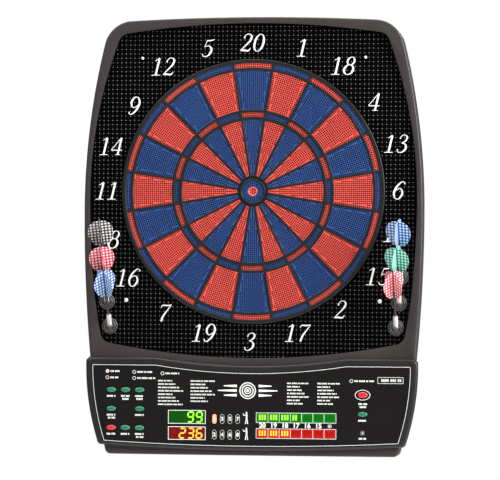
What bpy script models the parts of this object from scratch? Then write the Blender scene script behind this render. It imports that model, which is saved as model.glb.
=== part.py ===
"""Electronic dartboard with a soft-tip target, a scoring console and six darts in side holders.

Metres. X runs right, Z up, and the front faces -Y. The wall plane is Y = 0 and the origin lies on it,
straight behind the bull's-eye. Depths are given as distances forward of the wall.
"""

import math

import bmesh
import bpy
from mathutils import Matrix

# ---- Driving dimensions ------------------------------------------------------------------------

GAP = 0.0003  # between pieces that seat on each other
PLASTIC_WALL = 0.0025

# Housing outline: a chain of tangent arcs, given for the right half.
HOUSING_TOP = 0.262
HOUSING_BOTTOM = -0.396
HOUSING_HALF_WIDTH = 0.256
HOUSING_WAIST = -0.028  # height of the widest point
HOUSING_KNEE = -0.235  # height where the sides start to draw in
TOP_RADIUS = 3.600
UPPER_SIDE_RADIUS = 1.070
LOWER_SIDE_RADIUS = 2.400
FLANK_RADIUS = 1.040
BOTTOM_RADIUS = 60.0
TOP_CORNER_RADIUS = 0.045
BOTTOM_CORNER_RADIUS = 0.009

# Window in the front frame.
FRAME_TOP_BAND = 0.0094
FRAME_SIDE_BAND = 0.0085
FRAME_BOTTOM_BAND = 0.011  # down to the console's lowest dip
WINDOW_WAIST = -0.010
WINDOW_KNEE = -0.150
WINDOW_TOP_RADIUS = 1.270
WINDOW_UPPER_RADIUS = 0.680
WINDOW_LOWER_RADIUS = 1.350
WINDOW_BOTTOM_RADIUS = 1.110
WINDOW_CORNER_RADIUS = 0.017

# Depths forward of the wall.
REAR_COVER_DEPTH = 0.018
FRAME_FACE = 0.037
FRAME_EDGE_CHAMFER = 0.0015
FIELD_RECESS = 0.006  # number field behind the frame's face
FIELD_THICKNESS = 0.002
FIELD_MARGIN = 0.003  # how far the field reaches behind the frame
FOAM_THICKNESS = 0.004
MEMBRANE_THICKNESS = 0.001
SEGMENT_TRAVEL = 0.0012
SEGMENT_PROUD = 0.002  # of the number field
SPINE_THICKNESS = 0.003
SPINE_WIDTH = 0.008
SPIDER_PROUD = 0.001  # of the segments

# Target radii and webs.
INNER_BULL_RADIUS = 0.0071
OUTER_BULL_RADIUS = 0.0163
BULL_RING_OUTER = 0.0232
TRIPLE_INNER = 0.1125
TRIPLE_OUTER = 0.1186
DOUBLE_INNER = 0.1860
DOUBLE_OUTER = 0.1925
INNER_SINGLE_OUTER = 0.1070
OUTER_SINGLE_INNER = 0.1230
OUTER_SINGLE_OUTER = 0.1818
SPIDER_RADIUS = 0.1990
RADIAL_WEB = 0.0028
PAD_GAP = 0.0004  # all round each pad
SECTOR_NUMBERS = (20, 1, 18, 4, 13, 6, 10, 15, 2, 17, 3, 19, 7, 16, 8, 11, 14, 9, 12, 5)
SPIDER_FLANGE = 0.007
SPIDER_FLANGE_THICKNESS = 0.0024
RING_STEPS = 60
BULL_STEPS = 30
PILLAR_STEPS = 10
OUTER_ARC_STEPS = 3
INNER_ARC_STEPS = 2

# Pillars that carry the number field, at the field's screws.
# Each pair is given by its distance in from the housing's half width, and its height.
UPPER_SCREWS = (0.087, 0.201)
LOWER_SCREWS = (0.064, -0.164)
PILLAR_RADIUS = 0.004
PILLAR_SINK = 0.001  # overlap with the back plate, so that the two are one body

# Keyholes in the back plate, placed in the same way.
UPPER_KEYHOLES = (0.061, 0.185)
LOWER_KEYHOLES = (0.106, -0.228)
KEYHOLE_RADIUS = 0.005
KEYHOLE_SLOT_WIDTH = 0.005
KEYHOLE_RISE = 0.010

# Console, on the front of the frame.
CONSOLE_SIDE_INSET = 0.0054  # from the housing's half width
CONSOLE_WIDEST = -0.262
CONSOLE_SIDE_RADIUS = 0.376
CONSOLE_SHOULDER = -0.2495  # the straight ends of its top edge
CONSOLE_DIP = -0.261  # the top edge's lowest point
CONSOLE_DIP_RADIUS = 0.890
CONSOLE_LIP = 0.008  # of the housing, left showing below it
CONSOLE_BOTTOM_RADIUS = 3.780
CONSOLE_CHAMFER = 0.005
CONSOLE_CORNER_RADIUS = 0.006
CONSOLE_PROUD = 0.009  # of the frame's face
CONSOLE_EDGE_BEVEL = 0.003
PANEL_SIDE_BORDER = 0.0095
PANEL_TOP_BORDER = 0.0105
PANEL_BOTTOM_BORDER = 0.0050
PANEL_CORNER_RADIUS = 0.002
PANEL_THICKNESS = 0.0008
PANEL_RECESS = 0.0015
CONSOLE_FLOOR = 0.002
BAY_TOP_INSET = 0.007  # below the console's dip
BAY_BOTTOM_INSET = 0.018  # above the housing's bottom
BAY_RIM = 0.0045

# Buttons: (name, x, z, half width, half height).
BUTTON_SIZE = (0.0073, 0.0038)
START_SIZE = (0.0075, 0.0046)
RESET_SIZE = (0.0026, 0.0026)
BUTTON_COLUMN_INSETS = (0.0448, 0.0664, 0.0880)  # from the housing's half width, on the left
BUTTON_ROWS = (-0.2989, -0.3272, -0.3558)
RIGHT_BUTTON_INSET = 0.0875
RIGHT_BUTTON_ROWS = (-0.3035, -0.3322, -0.3602)
BUTTON_TRAVEL = 0.0010
BUTTON_PROUD = 0.0022
RESET_SUNK = 0.0006
BUTTON_FLANGE = 0.0014
BUTTON_FLANGE_THICKNESS = 0.0015
BUTTON_CLEARANCE = 0.0005
BUTTON_STEPS = 12

# Displays: (x of the middle, z of the middle, width, height).
SCORE_GREEN = (-0.0958, -0.3387, 0.0560, 0.0210)
SCORE_RED = (-0.0958, -0.3630, 0.0560, 0.0200)
CRICKET_GREEN = (0.0683, -0.3388, 0.1200, 0.0152)
CRICKET_RED = (0.0683, -0.3629, 0.1200, 0.0152)
DISPLAY_SINK = 0.0003  # display front below the panel's front
DISPLAY_CLEARANCE = 0.0004

# Main board and what is on it.
BOARD_SIDE_INSET = 0.0400  # from the housing's half width
BOARD_TOP = -0.2820
BOARD_BOTTOM = -0.3720
BOARD_DEPTH_BELOW_FACE = 0.0054
BOARD_THICKNESS = 0.0016
SWITCH_SIDE = 0.006
SWITCH_CLEARANCE = 0.0003
SWITCH_BODY = 0.0040

SPEAKER_PLACE = (0.150, -0.325)
SPEAKER_RADIUS = 0.025
SPEAKER_MAGNET_RADIUS = 0.013
SPEAKER_BASKET = 0.006
SPEAKER_DEPTH = 0.015
SPEAKER_STEPS = 20
GRILLE_SLOT = 0.003
GRILLE_PITCH = 0.006
GRILLE_SLOTS = 6

JACK_X = 0.120
JACK_SIZE = (0.010, 0.011, 0.014)
JACK_BORE_RADIUS = 0.0032
JACK_BORE_DEPTH = 0.010
JACK_STANDOFF = 0.0015
JACK_HOLE_RADIUS = 0.0045
JACK_STEPS = 14

# Membrane's tail, towards the main board.
TAIL_WIDTH = 0.030
TAIL_LENGTH = 0.088
TARGET_BACKING_RADIUS = 0.198
BACKING_STEPS = 40

# Darts and their holders on each side, top to bottom: (distance in from the housing's half width,
# height, roll of the wings in degrees). The rolls keep the wings apart while a dart is drawn past the next.
DARTS = (
    ("top", 0.0328, -0.1274, 12.0),
    ("middle", 0.0348, -0.1665, 16.0),
    ("bottom", 0.0395, -0.2030, -45.0),
)
DART_TILT = math.radians(35.5)  # from the board's face, out towards the front
HOLDER_FLANGE_RIM = 0.0056  # past the tube
HOLDER_FLANGE = 0.0018
HOLDER_STEP_RIM = 0.0034
HOLDER_STEP = 0.0018
HOLDER_CLEARANCE = 0.00085  # round the barrel
HOLDER_TUBE_WALL = 0.0018
HOLDER_TUBE_LENGTH = 0.030  # from the field's face, along the bore
HOLDER_STEPS = 14
TIP_LENGTH = 0.022
TIP_RADIUS = 0.0011
TIP_ROOT_RADIUS = 0.0026
BARREL_HIDDEN = 0.022
BARREL_SHOWN = 0.022
BARREL_RADIUS = 0.00375
SHAFT_LENGTH = 0.033
SHAFT_RADIUS = 0.0025
FLIGHT_LENGTH = 0.047
FLIGHT_RADIUS = 0.019
FLIGHT_SHEET = 0.0008
FLIGHT_TAPER = 0.018
FLIGHT_TAIL_CUT = 0.004
DART_STEPS = 8

# ---- What follows from them --------------------------------------------------------------------

WINDOW_TOP = HOUSING_TOP - FRAME_TOP_BAND
WINDOW_BOTTOM = CONSOLE_DIP + FRAME_BOTTOM_BAND
WINDOW_HALF_WIDTH = HOUSING_HALF_WIDTH - FRAME_SIDE_BAND
CONSOLE_HALF_WIDTH = HOUSING_HALF_WIDTH - CONSOLE_SIDE_INSET
CONSOLE_BOTTOM = HOUSING_BOTTOM + CONSOLE_LIP
CONSOLE_FRONT = FRAME_FACE + CONSOLE_PROUD
BAY_TOP = CONSOLE_DIP - BAY_TOP_INSET
BAY_BOTTOM = HOUSING_BOTTOM + BAY_BOTTOM_INSET
FIELD_FRONT = FRAME_FACE - FIELD_RECESS
SEGMENT_FRONT = FIELD_FRONT + SEGMENT_PROUD
SPIDER_FRONT = SEGMENT_FRONT + SPIDER_PROUD
BOARD_FRONT = FRAME_FACE - BOARD_DEPTH_BELOW_FACE
BOARD_HALF_WIDTH = HOUSING_HALF_WIDTH - BOARD_SIDE_INSET
BUTTON_COLUMNS = tuple(inset - HOUSING_HALF_WIDTH for inset in BUTTON_COLUMN_INSETS)
RIGHT_BUTTON_X = HOUSING_HALF_WIDTH - RIGHT_BUTTON_INSET
HOLDER_BORE_RADIUS = BARREL_RADIUS + HOLDER_CLEARANCE
HOLDER_TUBE_RADIUS = HOLDER_BORE_RADIUS + HOLDER_TUBE_WALL
FRAME_BACK = REAR_COVER_DEPTH + GAP
FOAM_BACK = PLASTIC_WALL + GAP
MEMBRANE_BACK = FOAM_BACK + FOAM_THICKNESS + GAP
SPINE_BACK = MEMBRANE_BACK + MEMBRANE_THICKNESS + GAP + SEGMENT_TRAVEL
SPIDER_BACK = SPINE_BACK + SPINE_THICKNESS + 2 * GAP
PAD_BACK = SPINE_BACK + SPINE_THICKNESS / 2
FIELD_BACK = FIELD_FRONT - FIELD_THICKNESS
FIELD_HOLE_RADIUS = SPIDER_RADIUS + GAP
SECTOR_ANGLE = 2 * math.pi / len(SECTOR_NUMBERS)
PANEL_FRONT = CONSOLE_FRONT - PANEL_RECESS + GAP + PANEL_THICKNESS
FLOOR_FRONT = CONSOLE_FRONT - PANEL_RECESS
FLOOR_BACK = FLOOR_FRONT - CONSOLE_FLOOR
FLANGE_FRONT = FLOOR_BACK - GAP
SWITCH_TOP = BOARD_FRONT + SWITCH_BODY
BUTTON_BACK = SWITCH_TOP + SWITCH_CLEARANCE + BUTTON_TRAVEL

BANDS = (  # (inner radius, outer radius, steps along its arcs)
    (DOUBLE_INNER, DOUBLE_OUTER, OUTER_ARC_STEPS),
    (OUTER_SINGLE_INNER, OUTER_SINGLE_OUTER, OUTER_ARC_STEPS),
    (TRIPLE_INNER, TRIPLE_OUTER, INNER_ARC_STEPS),
    (BULL_RING_OUTER + PAD_GAP, INNER_SINGLE_OUTER, INNER_ARC_STEPS),
)
BUTTONS = (
    ("button_on_off", BUTTON_COLUMNS[0], BUTTON_ROWS[0], BUTTON_SIZE),
    ("button_score", BUTTON_COLUMNS[1], BUTTON_ROWS[0], BUTTON_SIZE),
    ("button_bounce_out", BUTTON_COLUMNS[2], BUTTON_ROWS[0], BUTTON_SIZE),
    ("button_double", BUTTON_COLUMNS[0], BUTTON_ROWS[1], BUTTON_SIZE),
    ("button_handicap", BUTTON_COLUMNS[2], BUTTON_ROWS[1], BUTTON_SIZE),
    ("button_power", BUTTON_COLUMNS[0], BUTTON_ROWS[2], BUTTON_SIZE),
    ("button_select", BUTTON_COLUMNS[1], BUTTON_ROWS[2], BUTTON_SIZE),
    ("button_player", BUTTON_COLUMNS[2], BUTTON_ROWS[2], BUTTON_SIZE),
    ("button_start", RIGHT_BUTTON_X, RIGHT_BUTTON_ROWS[0], START_SIZE),
    ("button_game", RIGHT_BUTTON_X, RIGHT_BUTTON_ROWS[1], BUTTON_SIZE),
    ("button_reset", RIGHT_BUTTON_X, RIGHT_BUTTON_ROWS[2], RESET_SIZE),
)
DISPLAYS = (
    ("score_display_green", SCORE_GREEN),
    ("score_display_red", SCORE_RED),
    ("cricket_display_green", CRICKET_GREEN),
    ("cricket_display_red", CRICKET_RED),
)


# ---- Helpers -----------------------------------------------------------------------------------


def clear_scene():
    for old in list(bpy.data.objects):
        bpy.data.objects.remove(old, do_unlink=True)


def material(name, colour, roughness, metallic=0.0):
    made = bpy.data.materials.new(name)
    made.use_nodes = True
    shader = made.node_tree.nodes["Principled BSDF"]
    shader.inputs["Base Color"].default_value = (*colour, 1)
    shader.inputs["Roughness"].default_value = roughness
    shader.inputs["Metallic"].default_value = metallic
    return made


def node(name, shape, finish):
    """An object made from a bmesh, which is freed."""
    bmesh.ops.recalc_face_normals(shape, faces=shape.faces)
    mesh = bpy.data.meshes.new(name)
    shape.to_mesh(mesh)
    shape.free()
    made = bpy.data.objects.new(name, mesh)
    bpy.context.collection.objects.link(made)
    if finish:
        mesh.materials.append(finish)
    return made


def boolean(target, operation, *others):
    """Cuts or joins the other objects' shapes into the target's mesh, and removes those objects."""
    for other in others:
        other.hide_render = True
        other.display_type = "WIRE"
        step = target.modifiers.new(operation, "BOOLEAN")
        step.operation = operation
        step.object = other
    bpy.context.view_layer.update()
    graph = bpy.context.evaluated_depsgraph_get()
    result = bpy.data.meshes.new_from_object(target.evaluated_get(graph))
    target.modifiers.clear()
    target.data = result
    for other in others:
        bpy.data.objects.remove(other, do_unlink=True)


def cut(target, *cutters):
    boolean(target, "DIFFERENCE", *cutters)


def fuse(target, *others):
    boolean(target, "UNION", *others)


def prism(outlines, back, front):
    """Closed solids from outlines of (x, z) points, between two distances forward of the wall."""
    shape = bmesh.new()
    faces = [shape.faces.new([shape.verts.new((x, -back, z)) for x, z in outline]) for outline in outlines]
    grown = bmesh.ops.extrude_face_region(shape, geom=faces)
    moved = [part for part in grown["geom"] if isinstance(part, bmesh.types.BMVert)]
    bmesh.ops.translate(shape, vec=(0, back - front, 0), verts=moved)
    return shape


def turned(profile, steps, closed=False):
    """A solid turned round the Y axis from (radius, distance forward) points."""
    shape = bmesh.new()
    points = [shape.verts.new((radius, -forward, 0)) for radius, forward in profile]
    ends = list(zip(points, points[1:]))
    if closed:
        ends.append((points[-1], points[0]))
    edges = [shape.edges.new(pair) for pair in ends]
    bmesh.ops.spin(
        shape,
        geom=points + edges,
        cent=(0, 0, 0),
        axis=(0, 1, 0),
        angle=2 * math.pi,
        steps=steps,
        use_merge=True,
    )
    bmesh.ops.remove_doubles(shape, verts=shape.verts, dist=1e-6)
    return shape


def disc(radius, back, front, steps=RING_STEPS):
    return turned([(0, back), (radius, back), (radius, front), (0, front)], steps)


def bevel_front(shape, front, width):
    """Bevels the edges round a prism's front face."""
    rim = [edge for edge in shape.edges if all(abs(v.co.y + front) < 1e-6 for v in edge.verts)]
    bmesh.ops.bevel(shape, geom=rim, offset=width, segments=1, profile=0.5, affect="EDGES", material=-1)


def box(centre, size):
    shape = bmesh.new()
    bmesh.ops.create_cube(shape, size=1.0)
    bmesh.ops.scale(shape, vec=size, verts=shape.verts)
    bmesh.ops.translate(shape, vec=centre, verts=shape.verts)
    return shape


def oval(half_width, half_height, steps):
    turn = 2 * math.pi / steps
    return [(half_width * math.cos(turn * i), half_height * math.sin(turn * i)) for i in range(steps)]


def rectangle(width, height):
    return [(-width / 2, -height / 2), (width / 2, -height / 2), (width / 2, height / 2), (-width / 2, height / 2)]


def rotated(outline, angle):
    """The outline turned clockwise as seen from the front."""
    cos, sin = math.cos(angle), math.sin(angle)
    return [(x * cos + z * sin, z * cos - x * sin) for x, z in outline]


def moved(outline, x, z):
    return [(px + x, pz + z) for px, pz in outline]


def arc(centre, radius, start, end, steps):
    angles = [start + (end - start) * i / steps for i in range(steps + 1)]
    return [(centre[0] + radius * math.cos(a), centre[1] + radius * math.sin(a)) for a in angles]


def bearing(centre, point):
    return math.atan2(point[1] - centre[1], point[0] - centre[0])


def fillet_centre(first, first_radius, second, second_radius, upwards):
    """The higher or lower of the two points at the given distances from two centres."""
    across = math.dist(first, second)
    along = (first_radius**2 - second_radius**2 + across**2) / (2 * across)
    aside = math.sqrt(first_radius**2 - along**2)
    unit = ((second[0] - first[0]) / across, (second[1] - first[1]) / across)
    foot = (first[0] + along * unit[0], first[1] + along * unit[1])
    found = [(foot[0] - s * aside * unit[1], foot[1] + s * aside * unit[0]) for s in (1, -1)]
    right = [point for point in found if point[0] > 0]
    return (max if upwards else min)(right, key=lambda point: point[1])


def mirrored(right_half):
    return right_half + [(-x, z) for x, z in reversed(right_half) if x > 1e-9]


# ---- Outlines ----------------------------------------------------------------------------------


def barrel_outline(top, bottom, half_width, waist, knee, radii, top_corner, bottom_corner, grow):
    """A closed outline of tangent arcs, bulging at its sides, grown outwards by a distance."""
    top_radius, upper_radius, lower_radius, flank_radius, bottom_radius = radii
    top_centre = (0, top - top_radius)
    upper_centre = (half_width - upper_radius, waist)
    lower_centre = (half_width - lower_radius, waist)
    bottom_centre = (0, bottom + bottom_radius)
    drop = math.asin((waist - knee) / lower_radius)
    reach = lower_radius - flank_radius
    flank_centre = (lower_centre[0] + reach * math.cos(drop), lower_centre[1] - reach * math.sin(drop))
    upper = fillet_centre(top_centre, top_radius - top_corner, upper_centre, upper_radius - top_corner, True)
    lower = fillet_centre(
        bottom_centre, bottom_radius - bottom_corner, flank_centre, flank_radius - bottom_corner, False
    )
    points = arc(top_centre, top_radius + grow, math.pi / 2, bearing(top_centre, upper), 7)[:-1]
    points += arc(upper, top_corner + grow, bearing(top_centre, upper), bearing(upper_centre, upper), 7)
    points += arc(upper_centre, upper_radius + grow, bearing(upper_centre, upper), 0, 8)[1:]
    points += arc(lower_centre, lower_radius + grow, 0, -drop, 5)[1:]
    points += arc(flank_centre, flank_radius + grow, -drop, bearing(flank_centre, lower), 5)[1:]
    points += arc(lower, bottom_corner + grow, bearing(flank_centre, lower), bearing(bottom_centre, lower), 4)[1:]
    points += arc(bottom_centre, bottom_radius + grow, bearing(bottom_centre, lower), -math.pi / 2, 5)[1:]
    points[-1] = (0, points[-1][1])
    points[0] = (0, points[0][1])
    return mirrored(points)


def housing_outline(grow=0.0):
    radii = (TOP_RADIUS, UPPER_SIDE_RADIUS, LOWER_SIDE_RADIUS, FLANK_RADIUS, BOTTOM_RADIUS)
    return barrel_outline(
        HOUSING_TOP, HOUSING_BOTTOM, HOUSING_HALF_WIDTH, HOUSING_WAIST, HOUSING_KNEE,
        radii, TOP_CORNER_RADIUS, BOTTOM_CORNER_RADIUS, grow,
    )


def window_outline(grow=0.0):
    radii = (
        WINDOW_TOP_RADIUS, WINDOW_UPPER_RADIUS, WINDOW_LOWER_RADIUS, WINDOW_LOWER_RADIUS / 2, WINDOW_BOTTOM_RADIUS,
    )
    return barrel_outline(
        WINDOW_TOP, WINDOW_BOTTOM, WINDOW_HALF_WIDTH, WINDOW_WAIST, WINDOW_KNEE,
        radii, WINDOW_CORNER_RADIUS, WINDOW_CORNER_RADIUS, grow,
    )


def housing_half_width(height):
    """Half the housing's width at a height below its knee."""
    drop = math.asin((HOUSING_WAIST - HOUSING_KNEE) / LOWER_SIDE_RADIUS)
    reach = LOWER_SIDE_RADIUS - FLANK_RADIUS
    centre_x = HOUSING_HALF_WIDTH - LOWER_SIDE_RADIUS + reach * math.cos(drop)
    centre_z = HOUSING_WAIST - reach * math.sin(drop)
    return centre_x + math.sqrt(FLANK_RADIUS**2 - (height - centre_z) ** 2)


def bay_outline():
    """The opening in the frame that the electronics pass through, following the housing's sides."""
    heights = [BAY_TOP + (BAY_BOTTOM - BAY_TOP) * i / 4 for i in range(5)]
    return mirrored([(housing_half_width(height) - BAY_RIM, height) for height in heights])


def console_outline(side, top, bottom, corner, chamfer):
    """The console's outline, drawn in by a distance at its sides, top and bottom."""
    shoulder = CONSOLE_SHOULDER - top
    side_centre = (CONSOLE_HALF_WIDTH - CONSOLE_SIDE_RADIUS, CONSOLE_WIDEST)
    side_radius = CONSOLE_SIDE_RADIUS - side
    bottom_centre = (0, CONSOLE_BOTTOM + CONSOLE_BOTTOM_RADIUS)
    bottom_radius = CONSOLE_BOTTOM_RADIUS - bottom
    dip_centre = (0, CONSOLE_DIP + CONSOLE_DIP_RADIUS)
    dip_radius = CONSOLE_DIP_RADIUS + top
    dip_end = -math.acos((dip_centre[1] - shoulder) / dip_radius) + math.pi / 2
    chamfer_end = math.asin((shoulder - chamfer - side_centre[1]) / side_radius)
    chamfer_x = side_centre[0] + side_radius * math.cos(chamfer_end)
    lower = fillet_centre(bottom_centre, bottom_radius - corner, side_centre, side_radius - corner, False)
    points = arc(dip_centre, dip_radius, -math.pi / 2, -dip_end, 8)
    points.append((chamfer_x - chamfer, shoulder))
    points += arc(side_centre, side_radius, chamfer_end, bearing(side_centre, lower), 7)
    points += arc(lower, corner, bearing(side_centre, lower), bearing(bottom_centre, lower), 3)[1:]
    points += arc(bottom_centre, bottom_radius, bearing(bottom_centre, lower), -math.pi / 2, 6)[1:]
    points[0] = (0, points[0][1])
    points[-1] = (0, points[-1][1])
    return mirrored(points)


def panel_outline(grow=0.0):
    return console_outline(
        PANEL_SIDE_BORDER - grow, PANEL_TOP_BORDER - grow, PANEL_BOTTOM_BORDER - grow,
        PANEL_CORNER_RADIUS + grow, PANEL_CORNER_RADIUS + grow,
    )


# ---- Housing -----------------------------------------------------------------------------------


def keyhole(x, z):
    """A round entry for a screw's head with a slot above it for the shank, as one cutter."""
    steps = 10
    slot_half = KEYHOLE_SLOT_WIDTH / 2
    meet = math.asin(slot_half / KEYHOLE_RADIUS)
    entry = arc((x, z), KEYHOLE_RADIUS, math.pi / 2 + meet, 5 * math.pi / 2 - meet, steps)
    slot = arc((x, z + KEYHOLE_RISE), slot_half, 0, math.pi, 6)
    return node("keyhole_cutter", prism([entry + slot], -GAP, 2 * PLASTIC_WALL), None)


def make_rear_cover(finish):
    cover = node("rear_cover", prism([housing_outline()], 0, REAR_COVER_DEPTH), finish)
    hollow = prism([housing_outline(-PLASTIC_WALL)], PLASTIC_WALL, REAR_COVER_DEPTH + PLASTIC_WALL)
    cut(cover, node("hollow_cutter", hollow, None))
    pillars = []
    for inset, z in (UPPER_SCREWS, LOWER_SCREWS):
        for side in (1, -1):
            pillar = disc(PILLAR_RADIUS, PLASTIC_WALL - PILLAR_SINK, FIELD_BACK - GAP, PILLAR_STEPS)
            across = side * (HOUSING_HALF_WIDTH - inset)
            bmesh.ops.translate(pillar, vec=(across, 0, z), verts=pillar.verts)
            pillars.append(node("pillar", pillar, None))
    fuse(cover, *pillars)
    cutters = []
    for inset, z in (UPPER_KEYHOLES, LOWER_KEYHOLES):
        across = HOUSING_HALF_WIDTH - inset
        cutters += [keyhole(across, z), keyhole(-across, z)]
    for i in range(GRILLE_SLOTS):
        height = (i - (GRILLE_SLOTS - 1) / 2) * GRILLE_PITCH
        length = 2 * math.sqrt((SPEAKER_RADIUS - GRILLE_SLOT) ** 2 - height**2)
        slot = moved(rectangle(length, GRILLE_SLOT), SPEAKER_PLACE[0], SPEAKER_PLACE[1] + height)
        cutters.append(node("grille_cutter", prism([slot], -GAP, 2 * PLASTIC_WALL), None))
    hole = disc(JACK_HOLE_RADIUS, -2 * PLASTIC_WALL, 2 * PLASTIC_WALL, JACK_STEPS)
    bmesh.ops.rotate(hole, cent=(0, 0, 0), matrix=Matrix.Rotation(math.pi / 2, 3, "X"), verts=hole.verts)
    bmesh.ops.translate(hole, vec=(JACK_X, -jack_forward(), HOUSING_BOTTOM), verts=hole.verts)
    cutters.append(node("jack_hole_cutter", hole, None))
    cut(cover, *cutters)


def make_front_frame(finish):
    shell = prism([housing_outline()], FRAME_BACK, FRAME_FACE)
    bevel_front(shell, FRAME_FACE, FRAME_EDGE_CHAMFER)
    frame = node("front_frame", shell, finish)
    hollow = prism([housing_outline(-PLASTIC_WALL)], 0, FRAME_FACE - PLASTIC_WALL)
    window = prism([window_outline()], 0, 2 * FRAME_FACE)
    bay = prism([bay_outline()], 0, 2 * FRAME_FACE)
    cut(frame, node("hollow_cutter", hollow, None))
    cut(frame, node("window_cutter", window, None), node("bay_cutter", bay, None))


def make_number_field(finish):
    field = node("number_field", prism([window_outline(FIELD_MARGIN)], FIELD_BACK, FIELD_FRONT), finish)
    cutters = [node("target_cutter", disc(FIELD_HOLE_RADIUS, 0, 2 * FIELD_FRONT), None)]
    for _, place in holders():
        cutters.append(node("holder_cutter", bore(place, HOLDER_TUBE_RADIUS + GAP), None))
    cut(field, *cutters)


# ---- Target ------------------------------------------------------------------------------------


def wedge(inner, outer, steps, aside):
    """An outline in the sector that points up, with sides at a distance from the sector's edges."""
    outer_half = SECTOR_ANGLE / 2 - math.asin(aside / outer)
    inner_half = SECTOR_ANGLE / 2 - math.asin(aside / inner)
    up = math.pi / 2
    points = arc((0, 0), outer, up - outer_half, up + outer_half, steps)
    return points + arc((0, 0), inner, up + inner_half, up - inner_half, steps)


def make_spider(finish):
    """A turned plate with a flange behind the number field, and a pocket round each pad."""
    flange_front = FIELD_BACK - GAP
    flange_back = flange_front - SPIDER_FLANGE_THICKNESS
    inner = OUTER_BULL_RADIUS + PAD_GAP
    flange = SPIDER_RADIUS + SPIDER_FLANGE
    profile = [
        (inner, SPIDER_BACK),
        (SPIDER_RADIUS, SPIDER_BACK),
        (SPIDER_RADIUS, flange_back),
        (flange, flange_back),
        (flange, flange_front),
        (SPIDER_RADIUS, flange_front),
        (SPIDER_RADIUS, SPIDER_FRONT),
        (inner, SPIDER_FRONT),
    ]
    spider = node("spider", turned(profile, RING_STEPS, True), finish)
    pockets = []
    for band_inner, band_outer, steps in BANDS:
        pocket = wedge(band_inner - PAD_GAP, band_outer + PAD_GAP, steps, RADIAL_WEB / 2)
        pockets += [rotated(pocket, i * SECTOR_ANGLE) for i in range(len(SECTOR_NUMBERS))]
    cut(spider, node("pocket_cutter", prism(pockets, 0, 2 * SPIDER_FRONT), None))


def make_sectors(red, blue):
    """Twenty sectors, each its double, singles and triple on a spine that runs behind the spider's rings."""
    inner_end = BULL_RING_OUTER + SPINE_WIDTH
    outer_end = (DOUBLE_INNER + DOUBLE_OUTER) / 2
    for i, number in enumerate(SECTOR_NUMBERS):
        centre = (0, -(SPINE_BACK + SPINE_THICKNESS / 2), (inner_end + outer_end) / 2)
        spine = box(centre, (SPINE_WIDTH, SPINE_THICKNESS, outer_end - inner_end))
        sector = node(f"sector_{number:02d}", spine, red if i % 2 else blue)
        pads = [wedge(*band, RADIAL_WEB / 2 + PAD_GAP) for band in BANDS]
        fuse(sector, node("pads", prism(pads, PAD_BACK, SEGMENT_FRONT), None))
        sector.rotation_euler = (0, i * SECTOR_ANGLE, 0)


def make_bulls(red, blue):
    node("bull_inner", disc(INNER_BULL_RADIUS, SPINE_BACK, SEGMENT_FRONT, BULL_STEPS), red)
    inner = INNER_BULL_RADIUS + PAD_GAP
    profile = [
        (inner, SPINE_BACK),
        (OUTER_BULL_RADIUS, SPINE_BACK),
        (OUTER_BULL_RADIUS, SEGMENT_FRONT),
        (inner, SEGMENT_FRONT),
    ]
    node("bull_outer", turned(profile, BULL_STEPS, True), blue)


def make_backing(foam, film):
    node("foam_pad", disc(TARGET_BACKING_RADIUS, FOAM_BACK, FOAM_BACK + FOAM_THICKNESS, BACKING_STEPS), foam)
    front = MEMBRANE_BACK + MEMBRANE_THICKNESS
    sheet = node("membrane_sheet", disc(TARGET_BACKING_RADIUS, MEMBRANE_BACK, front, BACKING_STEPS), film)
    middle = -TARGET_BACKING_RADIUS - TAIL_LENGTH / 2 + TAIL_WIDTH / 2
    tail = box((0, -(MEMBRANE_BACK + front) / 2, middle), (TAIL_WIDTH, front - MEMBRANE_BACK, TAIL_LENGTH))
    fuse(sheet, node("tail", tail, None))


# ---- Console -----------------------------------------------------------------------------------


def display_cutter(place, clearance):
    x, z, width, height = place
    outline = moved(rectangle(width + 2 * clearance, height + 2 * clearance), x, z)
    return node("display_cutter", prism([outline], BOARD_FRONT, 2 * CONSOLE_FRONT), None)


def button_cutter(x, z, size):
    outline = moved(oval(size[0] + BUTTON_CLEARANCE, size[1] + BUTTON_CLEARANCE, BUTTON_STEPS), x, z)
    return node("button_cutter", prism([outline], BOARD_FRONT, 2 * CONSOLE_FRONT), None)


def console_cutters():
    cutters = [display_cutter(place, DISPLAY_CLEARANCE) for _, place in DISPLAYS]
    return cutters + [button_cutter(x, z, size) for _, x, z, size in BUTTONS]


def make_console_cover(finish):
    outer = console_outline(0, 0, 0, CONSOLE_CORNER_RADIUS, CONSOLE_CHAMFER)
    shell = prism([outer], FRAME_FACE + GAP, CONSOLE_FRONT)
    bevel_front(shell, CONSOLE_FRONT, CONSOLE_EDGE_BEVEL)
    cover = node("console_cover", shell, finish)
    wall = CONSOLE_EDGE_BEVEL + PLASTIC_WALL / 2
    inner = console_outline(wall, wall, wall, CONSOLE_CORNER_RADIUS, CONSOLE_CHAMFER)
    hollow = node("hollow_cutter", prism([inner], FRAME_FACE - GAP, FLOOR_BACK), None)
    recess = node("recess_cutter", prism([panel_outline(GAP)], FLOOR_FRONT, 2 * CONSOLE_FRONT), None)
    cut(cover, hollow, recess)
    cut(cover, *console_cutters())


def make_console_panel(finish):
    panel = node("console_panel", prism([panel_outline()], FLOOR_FRONT + GAP, PANEL_FRONT), finish)
    cut(panel, *console_cutters())


def make_displays(finish):
    for name, (x, z, width, height) in DISPLAYS:
        outline = moved(rectangle(width, height), x, z)
        node(name, prism([outline], BOARD_FRONT + GAP, PANEL_FRONT - DISPLAY_SINK), finish)


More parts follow.
